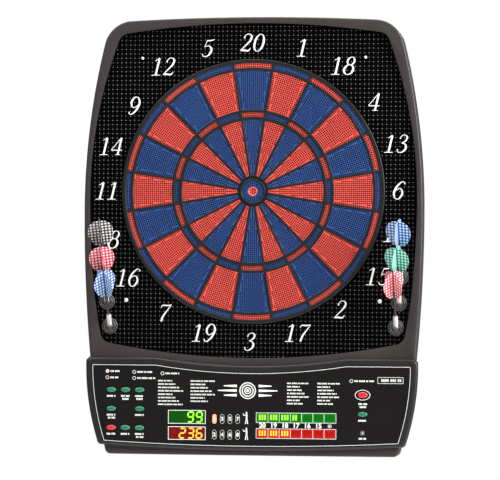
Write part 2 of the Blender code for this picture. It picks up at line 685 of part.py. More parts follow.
def make_buttons(green, red, grey):
    for name, x, z, size in BUTTONS:
        sunk = name == "button_reset"
        top = PANEL_FRONT - RESET_SUNK if sunk else PANEL_FRONT + BUTTON_PROUD
        half_width, half_height = size
        squash = half_height / half_width
        flange = half_width + BUTTON_FLANGE
        dome = (top - FLANGE_FRONT) / 3
        profile = (
            (0, BUTTON_BACK),
            (half_width * 0.6, BUTTON_BACK),
            (half_width * 0.6, FLANGE_FRONT - BUTTON_FLANGE_THICKNESS),
            (flange, FLANGE_FRONT - BUTTON_FLANGE_THICKNESS),
            (flange, FLANGE_FRONT),
            (half_width, FLANGE_FRONT),
            (half_width, top - dome),
            (half_width * 0.6, top - dome * 0.1),
            (0, top),
        )
        shape = turned(profile, BUTTON_STEPS)
        bmesh.ops.scale(shape, vec=(1, 1, squash), verts=shape.verts)
        finish = grey if sunk else red if name in ("button_start", "button_power") else green
        node(name, shape, finish).location = (x, 0, z)


def make_main_board(finish):
    middle = (BOARD_TOP + BOARD_BOTTOM) / 2
    plate = moved(rectangle(2 * BOARD_HALF_WIDTH, BOARD_TOP - BOARD_BOTTOM), 0, middle)
    board = node("main_board", prism([plate], BOARD_FRONT - BOARD_THICKNESS, BOARD_FRONT), finish)
    switches = []
    for _, x, z, _ in BUTTONS:
        depth = SWITCH_BODY + BOARD_THICKNESS / 2
        centre = (x, -(SWITCH_TOP - depth / 2), z)
        switches.append(node("switch", box(centre, (SWITCH_SIDE, depth, SWITCH_SIDE)), None))
    fuse(board, *switches)


def make_speaker(finish):
    back = PLASTIC_WALL + GAP
    profile = [
        (0, back + SPEAKER_BASKET / 2),
        (SPEAKER_RADIUS * 0.8, back),
        (SPEAKER_RADIUS, back),
        (SPEAKER_RADIUS, back + GAP + PLASTIC_WALL / 2),
        (SPEAKER_MAGNET_RADIUS, back + SPEAKER_BASKET),
        (SPEAKER_MAGNET_RADIUS, back + SPEAKER_DEPTH),
        (0, back + SPEAKER_DEPTH),
    ]
    node("speaker", turned(profile, SPEAKER_STEPS), finish).location = (SPEAKER_PLACE[0], 0, SPEAKER_PLACE[1])


def jack_forward():
    """The distance from the wall to the jack's middle."""
    return PLASTIC_WALL + JACK_STANDOFF + JACK_SIZE[1] / 2


def make_dc_jack(finish):
    bottom = HOUSING_BOTTOM + PLASTIC_WALL + GAP
    centre = (JACK_X, -jack_forward(), bottom + JACK_SIZE[2] / 2)
    jack = node("dc_jack", box(centre, JACK_SIZE), finish)
    socket = disc(JACK_BORE_RADIUS, -JACK_BORE_DEPTH, JACK_BORE_DEPTH, JACK_STEPS)
    bmesh.ops.rotate(socket, cent=(0, 0, 0), matrix=Matrix.Rotation(math.pi / 2, 3, "X"), verts=socket.verts)
    bmesh.ops.translate(socket, vec=(JACK_X, -jack_forward(), bottom), verts=socket.verts)
    cut(jack, node("socket_cutter", socket, None))


# ---- Darts and their holders -------------------------------------------------------------------


def holders():
    """(name ending, (x, z, roll)) of each dart, on the left and then on the right."""
    for side, name in ((-1, "left"), (1, "right")):
        for row, inset, z, roll in DARTS:
            yield f"{name}_{row}", (side * (HOUSING_HALF_WIDTH - inset), z, side * roll)


def dart_frame(place):
    """From a dart's own frame, +Y towards its tip, to its place in its holder."""
    x, z, roll = place
    tilt = Matrix.Rotation(DART_TILT - math.pi / 2, 4, "X")
    spin = Matrix.Rotation(math.radians(roll), 4, "Y")
    return Matrix.Translation((x, -FIELD_FRONT, z)) @ tilt @ spin


def bore(place, radius):
    """A rod along a dart's axis, well past the holder at both ends."""
    reach = 2 * HOLDER_TUBE_LENGTH
    shape = disc(radius, -reach, reach, HOLDER_STEPS)
    bmesh.ops.transform(shape, matrix=dart_frame(place), verts=shape.verts)
    return shape


def make_holder(ending, place, finish):
    flange_back = FIELD_FRONT + GAP
    flange_top = flange_back + HOLDER_FLANGE
    profile = (
        (0, flange_back),
        (HOLDER_TUBE_RADIUS + HOLDER_FLANGE_RIM, flange_back),
        (HOLDER_TUBE_RADIUS + HOLDER_FLANGE_RIM, flange_top),
        (HOLDER_TUBE_RADIUS + HOLDER_STEP_RIM, flange_top),
        (HOLDER_TUBE_RADIUS + HOLDER_STEP_RIM, flange_top + HOLDER_STEP),
        (0, flange_top + HOLDER_STEP),
    )
    shape = turned(profile, HOLDER_STEPS)
    bmesh.ops.translate(shape, vec=(place[0], 0, place[1]), verts=shape.verts)
    holder = node(f"dart_holder_{ending}", shape, finish)
    tube = disc(HOLDER_TUBE_RADIUS, -HOLDER_TUBE_LENGTH, HOLDER_STEP, HOLDER_STEPS)
    bmesh.ops.transform(tube, matrix=dart_frame(place), verts=tube.verts)
    fuse(holder, node("tube", tube, None))
    cut(holder, node("bore_cutter", bore(place, HOLDER_BORE_RADIUS), None))


def make_dart(ending, place, finish):
    """Tip, barrel and shaft as one turned body with four flight wings. Distances run along the dart."""
    root = BARREL_SHOWN
    tail = root + SHAFT_LENGTH
    nose = -BARREL_HIDDEN
    profile = (
        (0, nose - TIP_LENGTH),
        (TIP_RADIUS, nose - TIP_LENGTH * 0.9),
        (TIP_ROOT_RADIUS, nose - TIP_LENGTH * 0.15),
        (BARREL_RADIUS * 0.8, nose),
        (BARREL_RADIUS, nose + TIP_LENGTH * 0.15),
        (BARREL_RADIUS, root - SHAFT_RADIUS),
        (SHAFT_RADIUS, root),
        (SHAFT_RADIUS, tail + FLIGHT_LENGTH * 0.1),
        (0, tail + FLIGHT_LENGTH * 0.1),
    )
    dart = node(f"dart_{ending}", turned(profile, DART_STEPS), finish)
    end = tail + FLIGHT_LENGTH
    front = tail + FLIGHT_TAPER
    outline = [
        (SHAFT_RADIUS / 2, tail),
        (FLIGHT_RADIUS, front),
        (FLIGHT_RADIUS, end - FLIGHT_TAIL_CUT),
        (FLIGHT_RADIUS * 0.85, end),
        (0, end),
    ]
    outline += [(-radius, along) for radius, along in reversed(outline[:-1])]
    wings = []
    for quarter in range(2):
        sheet = bmesh.new()
        face = sheet.faces.new([sheet.verts.new((r, -s, -FLIGHT_SHEET / 2)) for r, s in outline])
        grown = bmesh.ops.extrude_face_region(sheet, geom=[face])
        raised = [part for part in grown["geom"] if isinstance(part, bmesh.types.BMVert)]
        bmesh.ops.translate(sheet, vec=(0, 0, FLIGHT_SHEET), verts=raised)
        turn = Matrix.Rotation(quarter * math.pi / 2, 3, "Y")
        bmesh.ops.rotate(sheet, cent=(0, 0, 0), matrix=turn, verts=sheet.verts)
        wings.append(node("wings", sheet, None))
    fuse(dart, *wings)
    dart.matrix_world = dart_frame(place)


# ---- The whole board ---------------------------------------------------------------------------


def main():
    clear_scene()
    housing = material("charcoal_plastic", (0.040, 0.033, 0.033), 0.5)
    field = material("field_plastic", (0.012, 0.011, 0.012), 0.45)
    web = material("spider_plastic", (0.035, 0.035, 0.040), 0.4)
    panel = material("panel_print", (0.020, 0.019, 0.020), 0.35)
    red = material("segment_red", (0.60, 0.075, 0.050), 0.5)
    blue = material("segment_blue", (0.035, 0.090, 0.270), 0.5)
    green = material("button_green", (0.02, 0.45, 0.20), 0.3)
    button_red = material("button_red", (0.70, 0.03, 0.02), 0.3)
    grey = material("button_grey", (0.25, 0.25, 0.26), 0.5)
    display = material("display_lens", (0.01, 0.02, 0.01), 0.15)
    foam = material("foam", (0.10, 0.10, 0.11), 0.9)
    film = material("membrane_film", (0.55, 0.56, 0.50), 0.4)
    board = material("circuit_board", (0.02, 0.15, 0.06), 0.5)
    speaker = material("speaker_steel", (0.30, 0.30, 0.31), 0.35, 0.8)
    rubber = material("holder_rubber", (0.020, 0.019, 0.020), 0.6)
    dart = material("dart_steel", (0.55, 0.55, 0.56), 0.3, 0.9)

    make_rear_cover(housing)
    make_front_frame(housing)
    make_number_field(field)
    make_spider(web)
    make_sectors(red, blue)
    make_bulls(red, blue)
    make_backing(foam, film)
    make_console_cover(housing)
    make_console_panel(panel)
    make_displays(display)
    make_buttons(green, button_red, grey)
    make_main_board(board)
    make_speaker(speaker)
    make_dc_jack(panel)
    for ending, place in holders():
        make_holder(ending, place, rubber)
        make_dart(ending, place, dart)


main()
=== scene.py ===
"""Electronic dartboard: a soft-tip target in a charcoal frame, a scoring console and six darts.

Metres. X runs right, Z up, and the front faces -Y. The wall plane is Y = 0 and the origin lies on it,
straight behind the bull's-eye. Depths are distances forward of the wall.
"""

import math

import bmesh
import bpy
from mathutils import Matrix, Vector


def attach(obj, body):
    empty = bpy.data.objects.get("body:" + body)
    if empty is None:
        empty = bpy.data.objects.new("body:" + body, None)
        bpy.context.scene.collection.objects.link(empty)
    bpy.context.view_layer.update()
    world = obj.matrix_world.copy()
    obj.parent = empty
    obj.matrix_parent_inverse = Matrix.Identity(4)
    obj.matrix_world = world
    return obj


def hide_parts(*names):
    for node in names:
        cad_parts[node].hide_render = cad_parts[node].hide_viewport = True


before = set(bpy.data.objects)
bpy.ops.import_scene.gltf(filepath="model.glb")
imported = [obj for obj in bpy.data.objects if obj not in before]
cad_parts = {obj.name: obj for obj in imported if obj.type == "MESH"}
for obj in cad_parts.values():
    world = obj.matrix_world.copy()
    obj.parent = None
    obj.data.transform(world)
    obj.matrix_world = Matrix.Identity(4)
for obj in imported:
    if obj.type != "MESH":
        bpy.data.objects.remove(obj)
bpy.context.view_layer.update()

# ---- Sizes -------------------------------------------------------------------------------------

HOUSING_TOP = 0.262
HOUSING_BOTTOM = -0.396
HALF_WIDTH = 0.256
KNEE = -0.235
HOUSING_WAIST = -0.028
WALL = 0.0025
REAR_DEPTH = 0.018
FRAME_BACK = 0.0183
FRAME_FACE = 0.037
FIELD_BACK = 0.029
FIELD_FRONT = 0.031
FIELD_PITCH = 0.0067
FIELD_CELLS = 78
FIELD_HALF = FIELD_CELLS * FIELD_PITCH / 2
FIELD_HOLE = 0.1993
PAD_BACK = 0.0111
PAD_FRONT = 0.033
SPINE = (0.0096, 0.0126)
SPIDER_BACK = 0.0132
SPIDER_FRONT = 0.034
SPIDER_RADIUS = 0.199
PAD_GAP = 0.0004
WEB = 0.0028
SECTOR = math.radians(18)
NUMBERS = (20, 1, 18, 4, 13, 6, 10, 15, 2, 17, 3, 19, 7, 16, 8, 11, 14, 9, 12, 5)
BANDS = ((0.1860, 0.1925), (0.1230, 0.1818), (0.1125, 0.1186), (0.0236, 0.1070))
# The rings that carry the triples' and the doubles' colours.
TRIPLE_SPAN = (0.1101, 0.1208)
DOUBLE_START = 0.1840
HOLE_PITCH = 0.0030
HOLE_BOTTOM = PAD_FRONT - 0.0060
SCREWS = ((0.169, 0.201), (-0.169, 0.201), (0.192, -0.164), (-0.192, -0.164))

CONSOLE_HALF_WIDTH = 0.2506
CONSOLE_BOTTOM = -0.388
CONSOLE_DIP = -0.261
CONSOLE_SHOULDER = -0.2495
CONSOLE_WAIST = -0.262
CONSOLE_SIDE_RADIUS = 0.376
CONSOLE_BOTTOM_RADIUS = 3.780
CONSOLE_DIP_RADIUS = 0.890
CONSOLE_CORNER = 0.006
CONSOLE_CHAMFER = 0.005
CONSOLE_WALL = 0.00425
CONSOLE_BACK = 0.0373
CONSOLE_FRONT = 0.046
CONSOLE_FLOOR = 0.0445
PANEL_FRONT = 0.0456
BOARD_FRONT = 0.0316
BAY_TOP = -0.268
BAY_BOTTOM = -0.378
BAY_INSET = 0.0045
LENS_FRONT = 0.0453
# How far printing stands out, and how far its root is sunk.
PRINT = 0.00008
PRINT_ROOT = 0.00002

BUTTON = (0.0073, 0.0038)
BUTTONS = (
    ("button_on_off", -0.2112, -0.2989, BUTTON),
    ("button_score", -0.1896, -0.2989, BUTTON),
    ("button_bounce_out", -0.1680, -0.2989, BUTTON),
    ("button_double", -0.2112, -0.3272, BUTTON),
    ("button_handicap", -0.1680, -0.3272, BUTTON),
    ("button_power", -0.2112, -0.3558, BUTTON),
    ("button_select", -0.1896, -0.3558, BUTTON),
    ("button_player", -0.1680, -0.3558, BUTTON),
    ("button_start", 0.1685, -0.3035, (0.0075, 0.0046)),
    ("button_game", 0.1685, -0.3322, BUTTON),
    ("button_reset", 0.1685, -0.3602, (0.0026, 0.0026)),
)
SCORE_GREEN = (-0.0958, -0.3387, 0.0536, 0.0174)
SCORE_RED = (-0.0958, -0.3630, 0.0536, 0.0170)
CRICKET_GREEN = (0.0690, -0.3386, 0.1180, 0.0130)
CRICKET_RED = (0.0690, -0.3622, 0.1180, 0.0130)
CELLS = 7
START, RESET = "button_start", "button_reset"
TWO_ROW_LABELS = ("button_bounce_out", "button_score", "button_double", "button_player", START)
# Small round lamps as (x, z, length of label), columns of rows as (left, top, width, rows), and the plate.
INDICATORS = (
    (-0.2170, -0.2710, 0.014), (-0.2172, -0.2805, 0.012), (-0.1762, -0.2720, 0.022), (-0.1762, -0.2812, 0.026),
    (-0.1332, -0.2738, 0.021), (0.1516, -0.2828, 0.028),
)
LIST_COLUMNS = (
    (-0.1398, -0.2848, 0.042, 8), (-0.0903, -0.2848, 0.042, 7), (0.0553, -0.2870, 0.036, 7),
    (0.1008, -0.2870, 0.038, 7),
)
PLATE = (0.2100, -0.2815, 0.0385, 0.0098)
LAMP = (0.0062, 0.0140)
LAMP_LEFT = -0.0540
LAMP_TOP = -0.3412

SPEAKER = (0.150, -0.325)
GRILLE_RADIUS = 0.022
GRILLE_PITCH = 0.006
KEYHOLE_ENTRY = 0.005
KEYHOLE_SLOT = 0.0025
KEYHOLE_RISE = 0.010
REAR_SCREW_SEAT = 0.0016
JACK_X = 0.120
JACK_FORWARD = 0.0095

DART_TILT = math.radians(35.5)
HOLDER_RADIUS = 0.0120
BARREL_RADIUS = 0.00375
# (radius, distance from the barrel's middle), from the tip backwards.
TIP_PROFILE = (
    (0, -0.0440), (0.0007, -0.0434), (0.0011, -0.0420), (0.0017, -0.0340), (0.0026, -0.0252), (0.0030, -0.0248),
    (0.0030, -0.0222), (0, -0.0222),
)
SHAFT_PROFILE = (
    (0, 0.0219), (0.0024, 0.0219), (0.0025, 0.0230), (0.0025, 0.0250), (0.0020, 0.0262), (0.0018, 0.0300),
    (0.0019, 0.0420), (0.0022, 0.0450), (0.0022, 0.0462), (0.0019, 0.0470), (0.0026, 0.0500), (0.0028, 0.0640),
    (0.0020, 0.0660), (0, 0.0660),
)
# The map of a wing's film, the side of its squares, and the part of a square that a stripe takes.
WING_MAP = "wing"
CHECK = 0.0050
STRIPE_SHARE = 0.47
HOLDERS = (
    ("left_top", -0.2232, -0.1274, -12.0, "black"),
    ("left_middle", -0.2212, -0.1665, -16.0, "red"),
    ("left_bottom", -0.2165, -0.2030, 45.0, "blue"),
    ("right_top", 0.2232, -0.1274, 12.0, "blue"),
    ("right_middle", 0.2212, -0.1665, 16.0, "green"),
    ("right_bottom", 0.2165, -0.2030, -45.0, "red"),
)

UPRIGHT = Matrix.Rotation(math.pi / 2, 4, "X")

# ---- Finishes ----------------------------------------------------------------------------------

ROUGHNESS_WANDER = 0.10


def set_inputs(made, **values):
    """Sets a node's inputs, which are named with _ for a space."""
    for name, value in values.items():
        made.inputs[name.replace("_", " ")].default_value = value


def node(tree, kind, **values):
    made = tree.nodes.new("ShaderNode" + kind)
    set_inputs(made, **values)
    return made


def link(tree, source, output, target, socket):
    tree.links.new(source.outputs[output], target.inputs[socket])


def math_node(tree, operation, source, output, second=None):
    """A sum worked on one output, with a number as its other input where one is given."""
    made = node(tree, "Math")
    made.operation = operation
    if second is not None:
        made.inputs[1].default_value = second
    link(tree, source, output, made, 0)
    return made


def finish(name, colour, roughness, mottle=0.08, grain=1500.0, bump=0.15, metallic=0.0, coat=0.0, shine=0.5):
    """A moulded or printed surface: a fine grain, a slow change of tone, and a roughness that wanders."""
    made = bpy.data.materials.new(name)
    made.use_nodes = True
    tree = made.node_tree
    shader = tree.nodes["Principled BSDF"]
    set_inputs(shader, Metallic=metallic, Specular_IOR_Level=shine, Coat_Weight=coat, Coat_Roughness=0.15)
    place = node(tree, "TexCoord")
    slow = node(tree, "TexNoise", Scale=22.0, Detail=4.0)
    link(tree, place, "Object", slow, "Vector")
    tone = node(tree, "ValToRGB")
    for stop, position, change in zip(tone.color_ramp.elements, (0.30, 0.70), (1 - mottle, 1 + mottle)):
        stop.position = position
        stop.color = (*(min(1.0, c * change) for c in colour), 1)
    link(tree, slow, "Fac", tone, "Fac")
    link(tree, tone, "Color", shader, "Base Color")
    fine = node(tree, "TexNoise", Scale=grain, Detail=3.0)
    link(tree, place, "Object", fine, "Vector")
    dullest, glossiest = min(1.0, roughness + ROUGHNESS_WANDER), max(0.02, roughness - ROUGHNESS_WANDER)
    gloss = node(tree, "MapRange", From_Min=0.3, From_Max=0.7, To_Min=glossiest, To_Max=dullest)
    link(tree, fine, "Fac", gloss, "Value")
    link(tree, gloss, "Result", shader, "Roughness")
    relief = node(tree, "Bump", Strength=bump, Distance=0.00012)
    link(tree, fine, "Fac", relief, "Height")
    link(tree, relief, "Normal", shader, "Normal")
    return made


def lit(name, colour, strength, roughness=0.35):
    """A lamp's lens or bar: a coloured body with a glow of its own."""
    made = finish(name, colour, roughness, mottle=0.10, grain=900.0, bump=0.05, shine=0.15)
    shader = made.node_tree.nodes["Principled BSDF"]
    set_inputs(shader, Emission_Color=(*colour, 1), Emission_Strength=strength)
    return made


def checked(name, dark, light):
    """Printed film in squares: light, dark where two stripes cross, and between the two along a stripe."""
    made = finish(name, light, 0.35, mottle=0.04, grain=700.0, bump=0.10)
    tree = made.node_tree
    shader = tree.nodes["Principled BSDF"]
    lay = node(tree, "UVMap")
    lay.uv_map = WING_MAP
    parts = node(tree, "SeparateXYZ")
    link(tree, lay, "UV", parts, "Vector")
    repeats = [math_node(tree, "FRACT", parts, axis) for axis in "XY"]
    stripes = [math_node(tree, "LESS_THAN", repeat, 0, STRIPE_SHARE) for repeat in repeats]
    both = math_node(tree, "ADD", stripes[0], 0)
    link(tree, stripes[1], 0, both, 1)
    share = math_node(tree, "MULTIPLY", both, 0, 0.5)
    ramp = node(tree, "ValToRGB")
    colours = ramp.color_ramp
    colours.interpolation = "CONSTANT"
    middle = tuple(a**0.46 * b**0.54 for a, b in zip(dark, light))
    colours.elements[0].color = (*light, 1)
    colours.elements[1].position = 0.75
    colours.elements[1].color = (*dark, 1)
    colours.elements.new(0.25).color = (*middle, 1)
    link(tree, share, 0, ramp, "Fac")
    link(tree, ramp, "Color", shader, "Base Color")
    set_inputs(shader, Sheen_Weight=0.1)
    return made


CHARCOAL = finish("charcoal_plastic", (0.036, 0.029, 0.0285), 0.42, grain=1700.0, bump=0.35, shine=0.40)
CONSOLE_PLASTIC = finish(
    "console_plastic", (0.016, 0.0135, 0.0135), 0.38, grain=1700.0, bump=0.30, shine=0.35
)
REAR_PLASTIC = finish(
    "rear_plastic", (0.022, 0.019, 0.019), 0.60, mottle=0.05, grain=1300.0, bump=0.45, shine=0.35
)
FIELD_PLASTIC = finish("field_plastic", (0.0030, 0.0027, 0.0028), 0.50, mottle=0.12, bump=0.20, shine=0.09)
# Light grey for the studs at the field's crossings: a painted glint on otherwise black plastic.
STUD_PAINTED_GLINT = finish("field_stud_painted_glint", (0.190, 0.180, 0.175), 0.25, mottle=0.12, bump=0.10)
# Near-black matte finish for the number field's pocket floors: painted shade in the pockets.
FIELD_PAINTED_SHADE = finish(
    "field_painted_shade", (0.0012, 0.0010, 0.0010), 0.85, mottle=0.12, grain=1200.0, bump=0.20, shine=0.05
)
WEB_PLASTIC = finish("spider_plastic", (0.012, 0.0115, 0.012), 0.36, bump=0.20, shine=0.35)
SEGMENT_RED = finish("segment_red", (0.70, 0.084, 0.065), 0.34, mottle=0.06, grain=1300.0, bump=0.20)
SEGMENT_BLUE = finish("segment_blue", (0.0280, 0.070, 0.228), 0.34, mottle=0.07, grain=1300.0, bump=0.20)
# Dark tints of the pad colours, painted as shade on the tip holes' bores and floors.
RED_PAINTED_SHADE = finish(
    "segment_red_painted_shade", (0.060, 0.004, 0.003), 0.80, mottle=0.12, grain=1200.0, bump=0.25, shine=0.10
)
BLUE_PAINTED_SHADE = finish(
    "segment_blue_painted_shade", (0.003, 0.005, 0.018), 0.80, mottle=0.12, grain=1200.0, bump=0.25, shine=0.10
)
PANEL = finish("panel_film", (0.0075, 0.0062, 0.0060), 0.26, grain=2600.0, bump=0.12, shine=0.32)
WHITE_INK = finish("white_ink", (0.86, 0.86, 0.83), 0.45, mottle=0.03, grain=2600.0, bump=0.08)
GREY_INK = finish("grey_ink", (0.72, 0.72, 0.70), 0.45, mottle=0.05, grain=2600.0, bump=0.08)
BLACK_GLOSS = finish("black_gloss", (0.006, 0.006, 0.006), 0.22, mottle=0.12, grain=1800.0, bump=0.10)
NUMERAL_WHITE = finish("numeral_white", (0.86, 0.86, 0.82), 0.40, mottle=0.03, grain=1600.0)
GREEN_RUBBER = finish("button_green", (0.010, 0.180, 0.095), 0.20, bump=0.10, coat=0.6)
RED_RUBBER = finish("button_red", (0.62, 0.022, 0.020), 0.20, bump=0.10, coat=0.6)
GREY_RUBBER = finish("button_grey", (0.520, 0.510, 0.510), 0.50, bump=0.20)
GREEN_LENS = lit("green_lens", (0.003, 0.050, 0.002), 0.60, 0.18)
RED_LENS = lit("red_lens", (0.115, 0.005, 0.004), 0.60, 0.18)
GREEN_CELL = lit("green_cell", (0.001, 0.125, 0.003), 0.60, 0.20)
RED_CELL = lit("red_cell", (0.370, 0.008, 0.005), 0.60, 0.20)
GREEN_LIT = lit("green_lit", (0.28, 0.85, 0.05), 0.75)
RED_LIT = lit("red_lit", (1.00, 0.42, 0.04), 0.85)
GREEN_DIM = lit("green_dim", (0.001, 0.080, 0.003), 0.45)
RED_DIM = lit("red_dim", (0.240, 0.004, 0.003), 0.45)
LAMP_LIT = lit("lamp_lit", (1.00, 0.28, 0.16), 0.9)
FOAM = finish("foam", (0.10, 0.10, 0.11), 0.95, mottle=0.12, grain=420.0, bump=0.8)
FILM = finish("membrane_film", (0.55, 0.56, 0.50), 0.35, mottle=0.12, bump=0.05)
CIRCUIT = finish("circuit_board", (0.02, 0.15, 0.06), 0.40, mottle=0.12, grain=1800.0, coat=0.3)
STEEL = finish("speaker_steel", (0.42, 0.42, 0.43), 0.32, mottle=0.05, bump=0.08, metallic=0.9)
# Near white and mostly diffuse: light steel with a painted highlight, so the heads read as bright dots.
SCREW_STEEL_PAINTED_HIGHLIGHT = finish("screw_steel_painted_highlight", (0.90, 0.90, 0.88), 0.30, mottle=0.03, bump=0.05, metallic=0.25)
BARREL_STEEL = finish(
    "barrel_steel", (0.66, 0.57, 0.57), 0.42, mottle=0.06, grain=2200.0, bump=0.08, metallic=0.35
)
TIP_PLASTIC = finish("tip_plastic", (0.012, 0.012, 0.013), 0.40, mottle=0.12, grain=1800.0)
SHAFT_PLASTIC = finish("shaft_plastic", (0.014, 0.012, 0.013), 0.35, mottle=0.12, grain=1800.0)
HOLDER_RUBBER = finish("holder_rubber", (0.034, 0.030, 0.030), 0.34, bump=0.10)
# A lighter grey of the holder rubber: a painted highlight on the ridge crests and the tube's mouth.
HOLDER_PAINTED_HIGHLIGHT = finish("holder_painted_highlight", (0.100, 0.093, 0.093), 0.34, bump=0.10)
JACK_PLASTIC = finish("jack_plastic", (0.010, 0.010, 0.010), 0.35, mottle=0.12)
PAPER = (0.95, 0.94, 0.93)
BUTTON_FINISHES = {
    START: (RED_RUBBER, "button_red"),
    "button_power": (RED_RUBBER, "button_red"),
    RESET: (GREY_RUBBER, "button_grey"),
}
FLIGHTS = {
    "black": checked("flight_black", (0.008, 0.007, 0.007), PAPER),
    "red": checked("flight_red", (0.54, 0.006, 0.016), (0.95, 0.84, 0.82)),
    "blue": checked("flight_blue", (0.006, 0.040, 0.270), (0.80, 0.92, 0.97)),
    "green": checked("flight_green", (0.003, 0.170, 0.095), (0.66, 0.95, 0.86)),
}

# ---- Outlines, as (x, z) points ----------------------------------------------------------------


def arc(centre, radius, start, end, steps):
    angles = [start + (end - start) * i / steps for i in range(steps + 1)]
    return [(centre[0] + radius * math.cos(a), centre[1] + radius * math.sin(a)) for a in angles]


def bearing(centre, point):
    return math.atan2(point[1] - centre[1], point[0] - centre[0])


def fillet_centre(first, first_radius, second, second_radius, upwards):
    """The higher or lower of the two points at the given distances from two centres."""
    across = math.dist(first, second)
    along = (first_radius**2 - second_radius**2 + across**2) / (2 * across)
    aside = math.sqrt(first_radius**2 - along**2)
    unit = ((second[0] - first[0]) / across, (second[1] - first[1]) / across)
    foot = (first[0] + along * unit[0], first[1] + along * unit[1])
    found = [(foot[0] - s * aside * unit[1], foot[1] + s * aside * unit[0]) for s in (1, -1)]
    right = [point for point in found if point[0] > 0]
    return (max if upwards else min)(right, key=lambda point: point[1])


def mirrored(right_half):
    return right_half + [(-x, z) for x, z in reversed(right_half) if x > 1e-9]


def whole_outline(right_half):
    """A closed outline from its right half, whose first and last points belong on the middle line."""
    right_half[0] = (0, right_half[0][1])
    right_half[-1] = (0, right_half[-1][1])
    return mirrored(right_half)


def barrel(top, bottom, half_width, waist, knee, radii, corners, grow):
    """A closed outline of tangent arcs that bulges at its sides, grown outwards by a distance."""
    top_radius, upper_radius, lower_radius, flank_radius, bottom_radius = radii
    top_corner, bottom_corner = corners
    top_centre = (0, top - top_radius)
    upper_centre = (half_width - upper_radius, waist)
    lower_centre = (half_width - lower_radius, waist)
    bottom_centre = (0, bottom + bottom_radius)
    drop = math.asin((waist - knee) / lower_radius)
    reach = lower_radius - flank_radius
    flank_centre = (lower_centre[0] + reach * math.cos(drop), lower_centre[1] - reach * math.sin(drop))
    upper = fillet_centre(top_centre, top_radius - top_corner, upper_centre, upper_radius - top_corner, True)
    lower = fillet_centre(
        bottom_centre, bottom_radius - bottom_corner, flank_centre, flank_radius - bottom_corner, False
    )
    from_top, from_upper = bearing(top_centre, upper), bearing(upper_centre, upper)
    from_flank, from_bottom = bearing(flank_centre, lower), bearing(bottom_centre, lower)
    points = arc(top_centre, top_radius + grow, math.pi / 2, from_top, 24)[:-1]
    points += arc(upper, top_corner + grow, from_top, from_upper, 24)
    points += arc(upper_centre, upper_radius + grow, from_upper, 0, 28)[1:]
    points += arc(lower_centre, lower_radius + grow, 0, -drop, 18)[1:]
    points += arc(flank_centre, flank_radius + grow, -drop, from_flank, 16)[1:]
    points += arc(lower, bottom_corner + grow, from_flank, from_bottom, 12)[1:]
    points += arc(bottom_centre, bottom_radius + grow, from_bottom, -math.pi / 2, 16)[1:]
    return whole_outline(points)


def housing_outline(grow=0.0):
    radii = (3.600, 1.070, 2.400, 1.040, 60.0)
    return barrel(HOUSING_TOP, HOUSING_BOTTOM, HALF_WIDTH, HOUSING_WAIST, KNEE, radii, (0.045, 0.009), grow)


def window_outline(grow=0.0):
    radii = (1.270, 0.680, 1.350, 0.675, 1.110)
    return barrel(0.2526, -0.250, 0.2475, -0.010, -0.150, radii, (0.017, 0.017), grow)


def console_outline(side, top, bottom, corner, chamfer):
    """The console's outline, drawn in by a distance at its sides, top and bottom."""
    shoulder = CONSOLE_SHOULDER - top
    side_radius = CONSOLE_SIDE_RADIUS - side
    side_centre = (CONSOLE_HALF_WIDTH - CONSOLE_SIDE_RADIUS, CONSOLE_WAIST)
    bottom_radius = CONSOLE_BOTTOM_RADIUS - bottom
    bottom_centre = (0, CONSOLE_BOTTOM + CONSOLE_BOTTOM_RADIUS)
    dip_radius = CONSOLE_DIP_RADIUS + top
    dip_centre = (0, CONSOLE_DIP + CONSOLE_DIP_RADIUS)
    dip_end = math.pi / 2 - math.acos((dip_centre[1] - shoulder) / dip_radius)
    chamfer_end = math.asin((shoulder - chamfer - side_centre[1]) / side_radius)
    chamfer_x = side_centre[0] + side_radius * math.cos(chamfer_end)
    lower = fillet_centre(bottom_centre, bottom_radius - corner, side_centre, side_radius - corner, False)
    from_side, from_bottom = bearing(side_centre, lower), bearing(bottom_centre, lower)
    points = arc(dip_centre, dip_radius, -math.pi / 2, -dip_end, 24)
    points.append((chamfer_x - chamfer, shoulder))
    points += arc(side_centre, side_radius, chamfer_end, from_side, 20)
    points += arc(lower, corner, from_side, from_bottom, 8)[1:]
    points += arc(bottom_centre, bottom_radius, from_bottom, -math.pi / 2, 18)[1:]
    return whole_outline(points)


def panel_outline(inwards=0.0):
    corner = max(0.0006, 0.0020 - inwards)
    return console_outline(0.0095 + inwards, 0.0105 + inwards, 0.0050 + inwards, corner, corner)


def bay_outline():
    """The opening that the electronics pass through, which follows the housing's sides."""
    sides = housing_outline(-BAY_INSET)
    right = [point for point in sides if point[0] > 0 and BAY_BOTTOM < point[1] < BAY_TOP]
    right.sort(key=lambda point: -point[1])
    return mirrored([(right[0][0], BAY_TOP)] + right + [(right[-1][0], BAY_BOTTOM)])


def oval(half_width, half_height, steps):
    turn = 2 * math.pi / steps
    return [(half_width * math.cos(turn * i), half_height * math.sin(turn * i)) for i in range(steps)]


def rectangle(width, height, corner=0.0):
    """A rectangle round the origin, with rounded corners where a radius is given."""
    x, z = width / 2, height / 2
    if not corner:
        return [(-x, -z), (x, -z), (x, z), (-x, z)]
    points = []
    for quarter, (sx, sz) in enumerate(((1, 1), (-1, 1), (-1, -1), (1, -1))):
        centre = (sx * (x - corner), sz * (z - corner))
        points += arc(centre, corner, quarter * math.pi / 2, (quarter + 1) * math.pi / 2, 5)
    return points


def moved(outline, x, z):
    return [(px + x, pz + z) for px, pz in outline]


